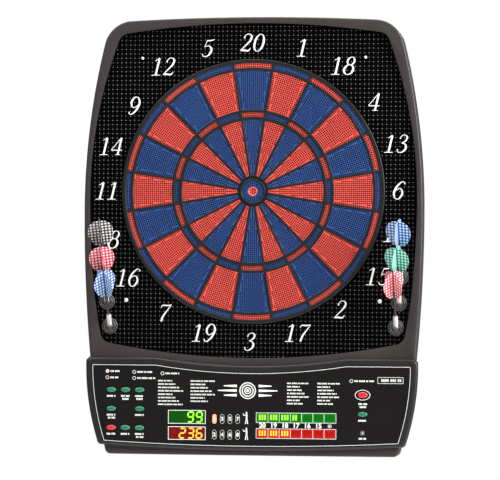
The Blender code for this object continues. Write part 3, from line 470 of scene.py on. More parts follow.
def wedge(inner, outer, aside):
    """A pad's outline in the sector that points up, with sides at a distance from the sector's edges."""
    outer_half = SECTOR / 2 - math.asin(aside / outer)
    inner_half = SECTOR / 2 - math.asin(aside / inner)
    up = math.pi / 2
    points = arc((0, 0), outer, up - outer_half, up + outer_half, 18)
    return points + arc((0, 0), inner, up + inner_half, up - inner_half, 10)


# ---- Shapes ------------------------------------------------------------------------------------


def new_points(grown):
    """The points that an extrusion made."""
    return [part for part in grown["geom"] if isinstance(part, bmesh.types.BMVert)]


def loop_of(points):
    """Pairs of neighbouring points round a closed loop."""
    return zip(points, points[1:] + points[:1])


def thickened(shape, faces, by):
    """Closed solids from flat faces, whose copies are moved by a vector."""
    grown = bmesh.ops.extrude_face_region(shape, geom=faces)
    bmesh.ops.translate(shape, vec=by, verts=new_points(grown))
    bmesh.ops.recalc_face_normals(shape, faces=shape.faces)
    return shape


def prism(outlines, back, front):
    """Closed solids from outlines of (x, z) points, between two distances forward of the wall."""
    shape = bmesh.new()
    faces = [shape.faces.new([shape.verts.new((x, -back, z)) for x, z in outline]) for outline in outlines]
    return thickened(shape, faces, (0, back - front, 0))


def bridged(shape, loops):
    """Skins an outline to the next, each given with its own depth, and returns their rings of edges."""
    rings = []
    for outline, depth in loops:
        points = [shape.verts.new((x, -depth, z)) for x, z in outline]
        rings.append([shape.edges.new(pair) for pair in loop_of(points)])
    for lower, upper in zip(rings, rings[1:]):
        bmesh.ops.bridge_loops(shape, edges=lower + upper)
    return rings


def stack(loops):
    """A closed skin through outlines of the same number of points, each at its own depth."""
    shape = bmesh.new()
    rings = bridged(shape, loops)
    for ring in (rings[0], rings[-1]):
        bmesh.ops.edgenet_fill(shape, edges=ring)
    bmesh.ops.recalc_face_normals(shape, faces=shape.faces)
    return shape


def turned(profile, steps, closed=False):
    """A solid turned round the Y axis from (radius, distance forward) points."""
    shape = bmesh.new()
    points = [shape.verts.new((radius, -forward, 0)) for radius, forward in profile]
    ends = list(loop_of(points)) if closed else list(zip(points, points[1:]))
    edges = [shape.edges.new(pair) for pair in ends]
    bmesh.ops.spin(
        shape, geom=points + edges, cent=(0, 0, 0), axis=(0, 1, 0), angle=math.tau, steps=steps, use_merge=True
    )
    bmesh.ops.remove_doubles(shape, verts=shape.verts, dist=1e-6)
    bmesh.ops.recalc_face_normals(shape, faces=shape.faces)
    return shape


def disc(radius, back, front, steps=48):
    return turned([(0, back), (radius, back), (radius, front), (0, front)], steps)


def rounded(shape, edges, width, segments):
    bmesh.ops.bevel(
        shape, geom=edges, offset=width, segments=segments, profile=0.5, affect="EDGES", material=-1
    )


def at_depth(edge, depth):
    return all(abs(vert.co.y + depth) < 1e-6 for vert in edge.verts)


def round_rim(shape, depth, width, segments=3):
    """Rounds the corners that lie at a depth."""
    rim = [edge for edge in shape.edges if at_depth(edge, depth) and edge.calc_face_angle(0) > 0.5]
    rounded(shape, rim, width, segments)


def block(centre, size):
    shape = bmesh.new()
    bmesh.ops.create_cube(shape, size=1.0)
    bmesh.ops.scale(shape, vec=size, verts=shape.verts)
    bmesh.ops.translate(shape, vec=centre, verts=shape.verts)
    return shape


def put(shape, matrix):
    bmesh.ops.transform(shape, matrix=matrix, verts=shape.verts)
    return shape


def at(x, z, forward=0.0):
    return Matrix.Translation((x, -forward, z))


def clockwise(angle):
    """A turn round the target's axis, clockwise as seen from the front."""
    return Matrix.Rotation(angle, 4, "Y")


def meshed(name, shape):
    """A mesh made from a shape, which is freed."""
    mesh = bpy.data.meshes.new(name)
    shape.to_mesh(mesh)
    shape.free()
    return mesh


def in_scene(name, data):
    made = bpy.data.objects.new(name, data)
    bpy.context.scene.collection.objects.link(made)
    return made


def taken_from(obj):
    """An object's shape with its modifiers applied, and the object is removed."""
    bpy.context.view_layer.update()
    mesh = bpy.data.meshes.new_from_object(obj.evaluated_get(bpy.context.evaluated_depsgraph_get()))
    shape = bmesh.new()
    shape.from_mesh(mesh)
    bpy.data.meshes.remove(mesh)
    bpy.data.objects.remove(obj, do_unlink=True)
    return shape


def joined(shapes):
    """One shape that holds all the shapes, which are freed."""
    whole = bmesh.new()
    for shape in shapes:
        mesh = meshed("part", shape)
        whole.from_mesh(mesh)
        bpy.data.meshes.remove(mesh)
    return whole


def carved(shape, steps, solver="EXACT"):
    """The shape with each (operation, other shape) applied in turn."""
    target = in_scene("carved", meshed("carved", shape))
    tools = []
    for operation, other in steps:
        tool = in_scene("tool", meshed("tool", other))
        tool.hide_render = True
        change = target.modifiers.new(operation, "BOOLEAN")
        change.operation = operation
        change.solver = solver
        change.object = tool
        tools.append(tool)
    made = taken_from(target)
    for tool in tools:
        bpy.data.objects.remove(tool, do_unlink=True)
    return made


def cut(shape, *others):
    """The shape less each of the other shapes in turn."""
    return carved(shape, [("DIFFERENCE", other) for other in others])


def piece(name, shape, finishes, body="housing", stands_for=(), sharp=35.0):
    """A finished piece that rides on a body, from a shape, which is freed."""
    return dressed(name, meshed(name, shape), finishes, body, stands_for, sharp)


def dressed(name, mesh, finishes, body, stands_for=(), sharp=35.0):
    for made in finishes if isinstance(finishes, list) else [finishes]:
        mesh.materials.append(made)
    mesh.polygons.foreach_set("use_smooth", [True] * len(mesh.polygons))
    mesh.set_sharp_from_angle(angle=math.radians(sharp))
    made = in_scene(name, mesh)
    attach(made, body)
    if stands_for:
        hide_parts(*stands_for)
    return made


# ---- Housing -----------------------------------------------------------------------------------


def keyhole(x, z):
    """A round entry for a wall screw's head, with a narrower slot above it."""
    meet = math.asin(KEYHOLE_SLOT / KEYHOLE_ENTRY)
    entry = arc((x, z), KEYHOLE_ENTRY, math.pi / 2 + meet, 5 * math.pi / 2 - meet, 28)
    slot = arc((x, z + KEYHOLE_RISE), KEYHOLE_SLOT, 0, math.pi, 12)
    return prism([entry + slot], -0.001, 0.006)


def grille_slots():
    """Rounded slots in front of the speaker, cut to a circle's chords."""
    slots = []
    for i in range(6):
        height = (i - 2.5) * GRILLE_PITCH
        length = 2 * math.sqrt(GRILLE_RADIUS**2 - height**2)
        slot = moved(rectangle(length, 0.003, 0.0014), SPEAKER[0], SPEAKER[1] + height)
        slots.append(prism([slot], -0.001, 0.006))
    return slots


def make_rear_cover():
    walls = prism([housing_outline()], 0, REAR_DEPTH)
    round_rim(walls, 0, 0.0012)
    hollow = prism([housing_outline(-WALL)], WALL, 2 * REAR_DEPTH)
    holes = [keyhole(s * x, z) for x, z in ((0.195, 0.185), (0.150, -0.228)) for s in (1, -1)]
    holes += grille_slots()
    holes += [put(disc(0.0048, -0.001, REAR_SCREW_SEAT, 32), at(x, z)) for x, z in rear_screws()]
    jack_hole = put(disc(0.0045, -0.005, 0.005), Matrix.Rotation(math.pi / 2, 4, "X"))
    put(jack_hole, at(JACK_X, HOUSING_BOTTOM, JACK_FORWARD))
    outer = prism([housing_outline(-0.014)], -0.001, 0.0006)
    groove = cut(outer, prism([housing_outline(-0.0155)], -0.002, 0.002))
    recess = prism([moved(rectangle(0.120, 0.064, 0.006), 0, -0.325)], -0.001, 0.0005)
    lines = [
        prism([moved(rectangle(0.300, 0.0024, 0.0011), 0, z)], -0.001, 0.0005)
        for z in (0.120, 0.060, 0, -0.060, -0.120)
    ]
    cover = cut(walls, hollow, joined(holes), jack_hole, groove, joined([recess] + lines))
    posts = [put(disc(0.004, WALL - 0.0005, FIELD_BACK - 0.0003, 24), at(x, z)) for x, z in SCREWS]
    piece("rear_cover_shell", joined([cover] + posts), REAR_PLASTIC, stands_for=("rear_cover",))
    turn = Matrix.Rotation(math.pi, 4, "Z")
    heads = [put(screw_head(0.0036, 0.0014), turn @ at(-x, z, -REAR_SCREW_SEAT)) for x, z in rear_screws()]
    piece("rear_screws", joined(heads), STEEL)


def rear_screws():
    right = [(0.205, 0.226), (0.238, 0.020), (0.228, -0.180), (0.200, -0.372), (0.070, 0.246)]
    return [(s * x, z) for x, z in right for s in (1, -1)]


def screw_head(radius, height, cross=1.1):
    """A domed head with a cross recess, seated at depth 0."""
    edge = 0.35
    dome = [(0, 0), (radius, 0), (radius, height * edge)]
    dome += [
        (radius * math.cos(a), height * (edge + (1 - edge) * math.sin(a))) for a in (0.35, 0.70, 1.05, 1.35)
    ]
    head = turned(dome + [(0, height)], 36)
    long, short, deep = radius * cross, radius * 0.24, height * 0.9
    arms = [block((0, -height, 0), size) for size in ((long, deep, short), (short, deep, long))]
    return cut(head, *arms)


def make_front_frame():
    shell = prism([housing_outline()], FRAME_BACK, FRAME_FACE)
    round_rim(shell, FRAME_FACE, 0.0026, 4)
    hollow = prism([housing_outline(-WALL)], 0, FRAME_FACE - WALL)
    window = prism([window_outline()], 0, 2 * FRAME_FACE)
    bay = prism([bay_outline()], 0, 2 * FRAME_FACE)
    frame_shape = cut(shell, hollow, window, bay)
    round_rim(frame_shape, FRAME_FACE, 0.0007, 2)
    piece("front_frame_shell", frame_shape, CHARCOAL, stands_for=("front_frame",))


def from_bull(point):
    return math.hypot(point.x, point.z)


def make_number_field():
    """A plate of square pockets, cut to the window, round the target and for the holders; the pocket floors
    carry painted shade.
    """
    plate = bmesh.new()
    bmesh.ops.create_grid(plate, x_segments=FIELD_CELLS, y_segments=FIELD_CELLS, size=FIELD_HALF)
    put(plate, Matrix.Translation((0, -FIELD_FRONT, 0)) @ UPRIGHT)
    pockets = [face for face in plate.faces if from_bull(face.calc_center_median()) > FIELD_HOLE - 0.008]
    bmesh.ops.inset_individual(plate, faces=pockets, thickness=0.00085, depth=0.0)
    bmesh.ops.inset_individual(plate, faces=pockets, thickness=0.0002, depth=-0.0016)
    # The pocket floors take the second finish, which is painted shade.
    for face in pockets:
        face.material_index = 1
    grown = bmesh.ops.extrude_edge_only(plate, edges=[edge for edge in plate.edges if edge.is_boundary])
    bmesh.ops.translate(plate, vec=(0, FIELD_FRONT - FIELD_BACK, 0), verts=new_points(grown))
    bmesh.ops.edgenet_fill(plate, edges=[edge for edge in plate.edges if edge.is_boundary])
    bmesh.ops.recalc_face_normals(plate, faces=plate.faces)
    steps = [("INTERSECT", prism([window_outline(0.003)], 0, 0.060))]
    steps.append(("DIFFERENCE", disc(FIELD_HOLE, 0, 0.060, 240)))
    for _, x, z, roll, _ in HOLDERS:
        steps.append(("DIFFERENCE", put(disc(0.0067, -0.060, 0.060, 32), dart_frame(x, z, roll))))
    clipped = carved(plate, steps, "MANIFOLD")
    finishes = [FIELD_PLASTIC, FIELD_PAINTED_SHADE]
    piece("number_field_grid", clipped, finishes, stands_for=("number_field",))


def make_field_studs():
    """A small raised stud at each crossing of the field's ribs, light grey as a painted glint."""
    inside = window_outline(-0.0008)
    studs = bmesh.new()
    for column in range(FIELD_CELLS + 1):
        for row in range(FIELD_CELLS + 1):
            x, z = column * FIELD_PITCH - FIELD_HALF, row * FIELD_PITCH - FIELD_HALF
            if math.hypot(x, z) < FIELD_HOLE + 0.0012 or not within(inside, x, z):
                continue
            if any(math.hypot(x - hx, z - hz) < HOLDER_RADIUS for _, hx, hz, _, _ in HOLDERS):
                continue
            place = Matrix.Translation((x, -FIELD_FRONT - 0.00022, z)) @ UPRIGHT
            bmesh.ops.create_cone(
                studs, cap_ends=True, segments=8, radius1=0.00070, radius2=0.00040, depth=0.00050, matrix=place
            )
    piece("number_field_studs", studs, STUD_PAINTED_GLINT, sharp=70)


def within(outline, x, z):
    """Whether a point lies inside a closed outline."""
    inside = False
    for (ax, az), (bx, bz) in zip(outline, outline[1:] + outline[:1]):
        if (az > z) != (bz > z) and x < ax + (z - az) * (bx - ax) / (bz - az):
            inside = not inside
    return inside


def make_field_screws():
    heads = []
    for x, z in SCREWS:
        radius = 0.0021 if z > 0 else 0.0030
        heads.append(put(screw_head(radius, 0.0019, 0.7), at(x, z, FIELD_FRONT)))
    # The screw finish is near white, partly the steel's own colour and partly painted highlight.
    piece("field_screws", joined(heads), SCREW_STEEL_PAINTED_HIGHLIGHT)


# ---- Numerals ----------------------------------------------------------------------------------

# Pen strokes in a box one unit high: (x, y, half the pen's width). A word at the end closes a stroke.
LEAN = 0.24
GLYPH_ADVANCE = 0.66


def ring_of_pen(cx, cy, rx, ry, thick, thin):
    """A closed oval stroke, thick at its sides."""
    turns = [math.radians(a) for a in range(0, 360, 30)]
    return [
        (cx + rx * math.cos(a), cy + ry * math.sin(a), thin + (thick - thin) * abs(math.cos(a)) ** 1.6)
        for a in turns
    ] + ["closed"]


def ball(x, y, r):
    """The round end of a stroke."""
    return [(x - r * 0.6, y, r * 0.6), (x, y, r), (x + r * 0.6, y, r * 0.6)]


SIX = [
    [
        (0.56, 0.88, 0.030), (0.46, 0.96, 0.020), (0.27, 0.85, 0.045), (0.12, 0.55, 0.064),
        (0.11, 0.25, 0.060), (0.31, 0.015, 0.020), (0.52, 0.18, 0.058), (0.52, 0.42, 0.056),
        (0.37, 0.59, 0.026), (0.16, 0.47, 0.018),
    ],
    ball(0.55, 0.86, 0.048),
]
STROKES = {
    "0": [ring_of_pen(0.34, 0.48, 0.24, 0.465, 0.066, 0.018)],
    "1": [
        [(0.33, 0.03, 0.060), (0.33, 0.50, 0.058), (0.33, 0.93, 0.062)],
        [(0.12, 0.80, 0.014), (0.22, 0.86, 0.024), (0.33, 0.94, 0.050)],
        [(0.10, 0.020, 0.018), (0.33, 0.026, 0.026), (0.56, 0.020, 0.018)],
    ],
    "2": [
        [
            (0.11, 0.76, 0.030), (0.18, 0.90, 0.024), (0.33, 0.965, 0.020), (0.50, 0.86, 0.050),
            (0.51, 0.68, 0.062), (0.36, 0.42, 0.040), (0.19, 0.20, 0.028), (0.08, 0.05, 0.022),
        ],
        [(0.08, 0.06, 0.034), (0.30, 0.070, 0.058), (0.50, 0.050, 0.046), (0.60, 0.20, 0.012)],
        ball(0.14, 0.75, 0.052),
    ],
    "3": [
        [
            (0.13, 0.80, 0.026), (0.20, 0.92, 0.022), (0.35, 0.965, 0.020), (0.50, 0.84, 0.054),
            (0.45, 0.64, 0.046), (0.27, 0.53, 0.016),
        ],
        [
            (0.27, 0.53, 0.016), (0.48, 0.46, 0.040), (0.56, 0.27, 0.066), (0.46, 0.08, 0.044),
            (0.27, 0.012, 0.018), (0.12, 0.10, 0.028),
        ],
        ball(0.14, 0.78, 0.048),
        ball(0.13, 0.16, 0.050),
    ],
    "4": [
        [(0.45, 0.95, 0.024), (0.24, 0.60, 0.022), (0.05, 0.29, 0.020)],
        [(0.05, 0.27, 0.026), (0.34, 0.27, 0.026), (0.64, 0.27, 0.026)],
        [(0.46, 0.03, 0.056), (0.46, 0.50, 0.056), (0.46, 0.94, 0.058)],
        [(0.32, 0.018, 0.016), (0.46, 0.022, 0.022), (0.60, 0.018, 0.016)],
    ],
    "5": [
        [(0.22, 0.90, 0.036), (0.40, 0.90, 0.040), (0.60, 0.96, 0.020)],
        [(0.22, 0.92, 0.022), (0.19, 0.74, 0.018), (0.15, 0.55, 0.016)],
        [
            (0.15, 0.54, 0.014), (0.34, 0.61, 0.026), (0.54, 0.47, 0.060), (0.54, 0.22, 0.064),
            (0.36, 0.03, 0.024), (0.16, 0.06, 0.026),
        ],
        ball(0.13, 0.13, 0.048),
    ],
    "6": SIX,
    "7": [
        [(0.09, 0.76, 0.012), (0.15, 0.90, 0.030), (0.37, 0.89, 0.044), (0.63, 0.93, 0.022)],
        [(0.63, 0.93, 0.018), (0.47, 0.62, 0.032), (0.33, 0.33, 0.052), (0.28, 0.03, 0.060)],
    ],
    "8": [
        ring_of_pen(0.36, 0.745, 0.185, 0.215, 0.052, 0.018),
        ring_of_pen(0.34, 0.275, 0.245, 0.265, 0.066, 0.020),
    ],
    "9": [[(0.66 - x, 0.975 - y, w) for x, y, w in stroke] for stroke in SIX],
}


def pen(strokes, height):
    """Flat raised strokes, drawn with curves whose thickness follows the pen, from the origin upwards."""
    parts = []
    for stroke in strokes:
        closed = stroke[-1] == "closed"
        points = stroke[:-1] if closed else stroke
        line = bpy.data.curves.new("stroke", "CURVE")
        line.dimensions = "3D"
        line.bevel_depth = 1.0
        line.bevel_resolution = 1
        line.resolution_u = 5
        line.use_fill_caps = True
        spline = line.splines.new("BEZIER")
        spline.bezier_points.add(len(points) - 1)
        spline.use_cyclic_u = closed
        for knot, (x, y, width) in zip(spline.bezier_points, points):
            knot.co = (x + LEAN * y, 0, y)
            knot.handle_left_type = knot.handle_right_type = "AUTO"
            knot.radius = width
        shape = taken_from(in_scene("stroke", line))
        bmesh.ops.remove_doubles(shape, verts=shape.verts, dist=1e-5)
        parts.append(shape)
    glyph = joined(parts)
    bmesh.ops.scale(glyph, vec=(height, 0.006, height), verts=glyph.verts)
    bmesh.ops.recalc_face_normals(glyph, faces=glyph.faces)
    return glyph


def number(text, height):
    """A number centred on the origin."""
    digits = []
    for i, digit in enumerate(text):
        start = (i - len(text) / 2) * GLYPH_ADVANCE
        digits.append(put(pen(STROKES[digit], height), at(start * height, -height / 2)))
    return put(joined(digits), at(-LEAN * height / 2, 0))


NUMERAL_PLACES = {
    20: (-0.0010, 0.2240), 1: (0.0747, 0.2160), 18: (0.1357, 0.1886), 4: (0.1829, 0.1345),
    13: (0.2160, 0.0716), 6: (0.2201, 0.0020), 10: (0.2151, -0.0617), 15: (0.1896, -0.1262),
    2: (0.1339, -0.1764), 17: (0.0684, -0.2116),
    3: (-0.0029, -0.2252), 19: (-0.0728, -0.2124), 7: (-0.1338, -0.1829), 16: (-0.1888, -0.1300),
    8: (-0.2113, -0.0725), 11: (-0.2215, 0.0012), 14: (-0.2160, 0.0686), 9: (-0.1808, 0.1297),
    12: (-0.1369, 0.1886), 5: (-0.0699, 0.2161),
}


def make_numerals():
    for value, (x, z) in NUMERAL_PLACES.items():
        shape = put(number(str(value), 0.0275), at(x, z, FIELD_FRONT + 0.0005))
        piece(f"numeral_{value:02d}", shape, NUMERAL_WHITE, sharp=60)


# ---- Target ------------------------------------------------------------------------------------


def on_circle(radius, angles):
    return [(radius * math.sin(a), radius * math.cos(a)) for a in angles]


def pad_holes():
    """Where the tip holes go in the sector that points up."""
    spots = []
    aside = WEB / 2 + PAD_GAP
    for (inner, outer), columns in ((BANDS[0], 17), (BANDS[2], 11)):
        for radius in (inner + 0.0017, outer - 0.0017):
            half = SECTOR / 2 - math.asin((aside + 0.0017) / radius)
            spots += on_circle(radius, [half * (2 * i / (columns - 1) - 1) for i in range(columns)])
    for inner, outer in (BANDS[1], BANDS[3]):
        rows = int((outer - inner - 0.0030) / HOLE_PITCH)
        start = (inner + outer) / 2 - rows * HOLE_PITCH / 2
        for row in range(rows + 1):
            z = start + row * HOLE_PITCH
            side = z * math.tan(SECTOR / 2) - (aside + 0.0016) / math.cos(SECTOR / 2)
            follows_edges = inner > BANDS[3][1]
            if follows_edges:
                inside = int((side - HOLE_PITCH * 0.86) / HOLE_PITCH)
            else:
                inside = int(max(0.0, side + 0.0003) / HOLE_PITCH)
            columns = [side, -side] if follows_edges else []
            columns += [i * HOLE_PITCH for i in range(-inside, inside + 1)]
            spots += [(x, z) for x in columns if inner + 0.0014 < math.hypot(x, z) < outer - 0.0014]
    return spots


def tip_holes(spots):
    """A funnel and a bore at each spot, as one cutter."""
    cutter = bmesh.new()
    for x, z in spots:
        mouth = oval(0.00125, 0.00125, 8)
        ring = [cutter.verts.new((x + px, -(PAD_FRONT + 0.0001), z + pz)) for px, pz in mouth]
        edges = [cutter.edges.new(pair) for pair in loop_of(ring)]
        cutter.faces.new(ring)
        for radius, depth in ((0.00115, PAD_FRONT - 0.0006), (0.00105, HOLE_BOTTOM)):
            grown = bmesh.ops.extrude_edge_only(cutter, edges=edges)
            edges = [part for part in grown["geom"] if isinstance(part, bmesh.types.BMEdge)]
            for point in new_points(grown):
                away = Vector((point.co.x - x, 0, point.co.z - z)).normalized() * radius
                point.co = Vector((x, -depth, z)) + away
        bmesh.ops.contextual_create(cutter, geom=edges)
    bmesh.ops.recalc_face_normals(cutter, faces=cutter.faces)
    return cutter


def in_a_hole(face):
    """Whether a face belongs to a hole's bore or floor, below its funnel, where shade is painted."""
    depths = [-vert.co.y for vert in face.verts]
    return abs(min(depths) - HOLE_BOTTOM) < 1e-5 and max(depths) < PAD_FRONT - 0.0005


def drilled(shape, spots):
    return carved(shape, [("DIFFERENCE", tip_holes(spots))], "MANIFOLD")


def make_sectors():
    pads = prism([wedge(inner, outer, WEB / 2 + PAD_GAP) for inner, outer in BANDS], PAD_BACK, PAD_FRONT)
    round_rim(pads, PAD_FRONT, 0.0004, 2)
    pads = drilled(pads, pad_holes())
    for face in pads.faces:
        radius = from_bull(face.calc_center_median())
        on_ring = TRIPLE_SPAN[0] < radius < TRIPLE_SPAN[1] or radius > DOUBLE_START
        # Faces inside a hole take the painted-shade finish of their pad's colour.
        face.material_index = (0 if on_ring else 1) + (2 if in_a_hole(face) else 0)
    spine = block((0, -(SPINE[0] + SPINE[1]) / 2, 0.1102), (0.008, SPINE[1] - SPINE[0], 0.158))
    for face in spine.faces:
        face.material_index = 1
    pattern = meshed("sector_pattern", joined([pads, spine]))
    red, blue = (SEGMENT_RED, RED_PAINTED_SHADE), (SEGMENT_BLUE, BLUE_PAINTED_SHADE)
    for i, value in enumerate(NUMBERS):
        mesh = pattern.copy()
        mesh.transform(clockwise(i * SECTOR))
        (ring, ring_painted_shade), (field, field_painted_shade) = (blue, red) if i % 2 else (red, blue)
        finishes = [ring, field, ring_painted_shade, field_painted_shade]
        body = f"sector_{value:02d}"
        dressed(f"sector_pads_{value:02d}", mesh, finishes, body, (body,), 40)
    bpy.data.meshes.remove(pattern)


def web_ring(inner, outer, soft=0.0007):
    """A ring of the web, with both rims of its front rounded."""
    base = SPIDER_FRONT - soft

    def corner(start, inwards, angles):
        return [(start + inwards * soft * (1 - math.cos(a)), base + soft * math.sin(a)) for a in angles]

    profile = [(inner, SPIDER_BACK), (outer, SPIDER_BACK), (outer, base)]
    profile += corner(outer, -1, (0.5, 1.0))
    profile += [(outer - soft, SPIDER_FRONT), (inner + soft, SPIDER_FRONT)]
    profile += corner(inner, 1, (1.0, 0.5))
    profile += [(inner, base)]
    return turned(profile, 96 if outer < 0.05 else 240, True)


def square_ring(inner, outer, back, front, steps):
    return turned([(inner, back), (outer, back), (outer, front), (inner, front)], steps, True)


def make_spider():
    shapes = [
        web_ring(BANDS[0][1] + PAD_GAP, SPIDER_RADIUS, soft=0.0012),
        web_ring(BANDS[1][1] + PAD_GAP, BANDS[0][0] - PAD_GAP),
        web_ring(BANDS[2][1] + PAD_GAP, BANDS[1][0] - PAD_GAP),
        web_ring(BANDS[3][1] + PAD_GAP, BANDS[2][0] - PAD_GAP),
        web_ring(0.0167, 0.0192, soft=0.0010),
        square_ring(0.0188, 0.0232, SPIDER_BACK, 0.0318, 96),
        square_ring(0.1985, 0.206, 0.0263, 0.0287, 240),
    ]
    low = SPIDER_FRONT - 0.0001
    start, end = 0.0225, 0.1935
    for i in range(len(NUMBERS)):
        bar = block((0, -(SPIDER_BACK + low) / 2, (start + end) / 2), (WEB, low - SPIDER_BACK, 0.171))
        long_edges = [
            edge for edge in bar.edges
            if at_depth(edge, low) and abs(edge.verts[0].co.z - edge.verts[1].co.z) > 0.1
        ]
        rounded(bar, long_edges, 0.0006, 3)
        shapes.append(put(bar, clockwise((i + 0.5) * SECTOR)))
    piece("spider_web", joined(shapes), WEB_PLASTIC, stands_for=("spider",), sharp=50)


def circle_spots(radius, count):
    return on_circle(radius, [math.tau * i / count for i in range(count)])


def make_bulls():
    """The dished middle pad and the ring pad round it."""
    dish = [
        (0, SPINE[0]), (0.0071, SPINE[0]), (0.0071, PAD_FRONT - 0.0009), (0.0068, PAD_FRONT - 0.0003),
        (0.0063, PAD_FRONT), (0.0058, PAD_FRONT - 0.0003), (0.0048, PAD_FRONT - 0.0016),
        (0, PAD_FRONT - 0.0020),
    ]
    centre = drilled(turned(dish, 60), [(0, 0)] + circle_spots(0.0032, 6))
    shade_holes(centre)
    piece("bull_centre", centre, [SEGMENT_RED, RED_PAINTED_SHADE], "bull_inner", ("bull_inner",), 40)
    profile = [
        (0.0075, SPINE[0]), (0.0163, SPINE[0]), (0.0163, PAD_FRONT - 0.0004), (0.0159, PAD_FRONT),
        (0.0079, PAD_FRONT), (0.0075, PAD_FRONT - 0.0004),
    ]
    spots = circle_spots(0.0093, 18) + circle_spots(0.0119, 24) + circle_spots(0.0145, 30)
    ring = drilled(turned(profile, 90, True), spots)
    shade_holes(ring)
    piece("bull_ring", ring, [SEGMENT_BLUE, BLUE_PAINTED_SHADE], "bull_outer", ("bull_outer",), 40)


def shade_holes(shape):
    # Faces inside a hole get the second finish, which is painted shade.
    for face in shape.faces:
        face.material_index = 1 if in_a_hole(face) else 0


# ---- Console -----------------------------------------------------------------------------------


def display_hole(place, clearance=0.0004):
    x, z, width, height = place
    return prism([moved(rectangle(width + 2 * clearance, height + 2 * clearance), x, z)], BOARD_FRONT, 0.060)


def button_hole(x, z, size):
    return prism([moved(oval(size[0] + 0.0005, size[1] + 0.0005, 48), x, z)], BOARD_FRONT, 0.060)


def openings():
    holes = [display_hole(place) for place in (SCORE_GREEN, SCORE_RED, CRICKET_GREEN, CRICKET_RED)]
    return joined(holes + [button_hole(x, z, size) for _, x, z, size in BUTTONS])


def make_console():
    """The console's housing, with a sloped border, and the printed sheet let into it."""
    def drawn_in(by):
        return console_outline(by, by, by, max(0.001, CONSOLE_CORNER - by / 2), CONSOLE_CHAMFER)

    border = (
        (0, CONSOLE_BACK), (0, 0.0408), (0.0003, 0.0428), (0.0010, 0.0442), (0.0022, 0.0453), (0.0038, 0.0459),
        (0.0050, CONSOLE_FRONT),
    )
    body = stack([(drawn_in(by), depth) for by, depth in border])
    inner = console_outline(CONSOLE_WALL, CONSOLE_WALL, CONSOLE_WALL, CONSOLE_CORNER, CONSOLE_CHAMFER)
    hollow = prism([inner], CONSOLE_BACK - 0.0006, 0.0425)
    recess = prism([panel_outline(-0.0003)], CONSOLE_FLOOR, 0.060)
    cover = cut(body, hollow, recess, openings())
    piece("console_shell", cover, CONSOLE_PLASTIC, stands_for=("console_cover",), sharp=28)
    sheet = cut(prism([panel_outline()], CONSOLE_FLOOR + 0.0003, PANEL_FRONT), openings())
    piece("console_face", sheet, PANEL, stands_for=("console_panel",))


def band(outer, inner, thick=PRINT):
    """A printed line between two outlines of the same number of points."""
    shape = bmesh.new()
    bridged(shape, [(outer, PANEL_FRONT + thick), (inner, PANEL_FRONT + thick)])
    return thickened(shape, shape.faces[:], (0, thick + PRINT_ROOT, 0))


def patch(outline, thick=PRINT):
    return prism([outline], PANEL_FRONT - PRINT_ROOT, PANEL_FRONT + thick)


def small_number(text, x, z, size):
    """A bold printed number centred on a point of the panel."""
    words = bpy.data.curves.new("number", "FONT")
    words.body = text
    words.size = size
    words.align_x = "CENTER"
    words.align_y = "CENTER"
    words.offset = size * 0.035
    words.extrude = PRINT
    words.resolution_u = 3
    shape = taken_from(in_scene("number", words))
    bmesh.ops.remove_doubles(shape, verts=shape.verts, dist=1e-7)
    return put(shape, at(x, z, PANEL_FRONT) @ UPRIGHT)


def oval_line(x, z, half_width, half_height, width, steps=40):
    outer = moved(oval(half_width, half_height, steps), x, z)
    inner = moved(oval(half_width - width, half_height - width, steps), x, z)
    return band(outer, inner)


def box_line(x, z, width, height, line, corner=0.0004):
    outer = moved(rectangle(width, height, corner), x, z)
    inner = moved(rectangle(width - 2 * line, height - 2 * line, corner / 2), x, z)
    return band(outer, inner)


WORD_LENGTHS = (3, 5, 2, 6, 4, 3, 7, 4, 5, 2, 4, 6, 3, 5)


def mark_row(left, z, length, height, seed=0):
    """A row of plain blocks in groups that stands for a printed label, of a total length."""
    shapes = []
    x = left
    i = seed
    while x < left + length:
        for _ in range(WORD_LENGTHS[i % len(WORD_LENGTHS)]):
            if x < left + length:
                shapes.append(patch(moved(rectangle(height * 0.56, height), x + height * 0.28, z)))
            x += height * 0.74
        x += height * 0.50
        i += 1
    return shapes


# The lit bars of a digit: top, upper right, lower right, bottom, lower left, upper left, middle.
SEGMENTS = {
    "0": "abcdef", "1": "bc", "2": "abged", "3": "abgcd", "4": "fgbc", "5": "afgcd", "6": "afgedc", "7": "abc",
    "8": "abcdefg", "9": "abcdfg",
}


def digit_bars(x, z, size, letters):
    """The bars of one lamp digit, each a long hexagon, leaning a little."""
    w, h, t = size * 0.50 / 2, size * 0.90 / 2, size * 0.145 / 2
    ends = {
        "a": ((-w, h), (w, h)), "b": ((w, h), (w, 0)), "c": ((w, 0), (w, -h)), "d": ((-w, -h), (w, -h)),
        "e": ((-w, 0), (-w, -h)), "f": ((-w, h), (-w, 0)), "g": ((-w, 0), (w, 0)),
    }
    gap = t * 0.35
    shapes = []
    for letter in letters:
        (ax, az), (bx, bz) = ends[letter]
        run = math.dist((ax, az), (bx, bz))
        ux, uz = (bx - ax) / run, (bz - az) / run
        end = run - gap
        corners = [(gap, 0), (gap + t, t), (end - t, t), (end, 0), (end - t, -t), (gap + t, -t)]
        outline = [(ax + ux * s - uz * n, az + uz * s + ux * n) for s, n in corners]
        shapes.append(on_lens([(px + pz * 0.10 + x, pz + z) for px, pz in outline]))
    return shapes


def on_lens(outline):
    return prism([outline], LENS_FRONT - PRINT_ROOT, LENS_FRONT + PRINT)


def make_lens(name, place, finish_of_lens):
    x, z, width, height = place
    glass = prism([moved(rectangle(width, height), x, z)], BOARD_FRONT + 0.0003, LENS_FRONT)
    round_rim(glass, LENS_FRONT, 0.0002, 1)
    piece(f"{name}_lens", glass, finish_of_lens, stands_for=(name,))


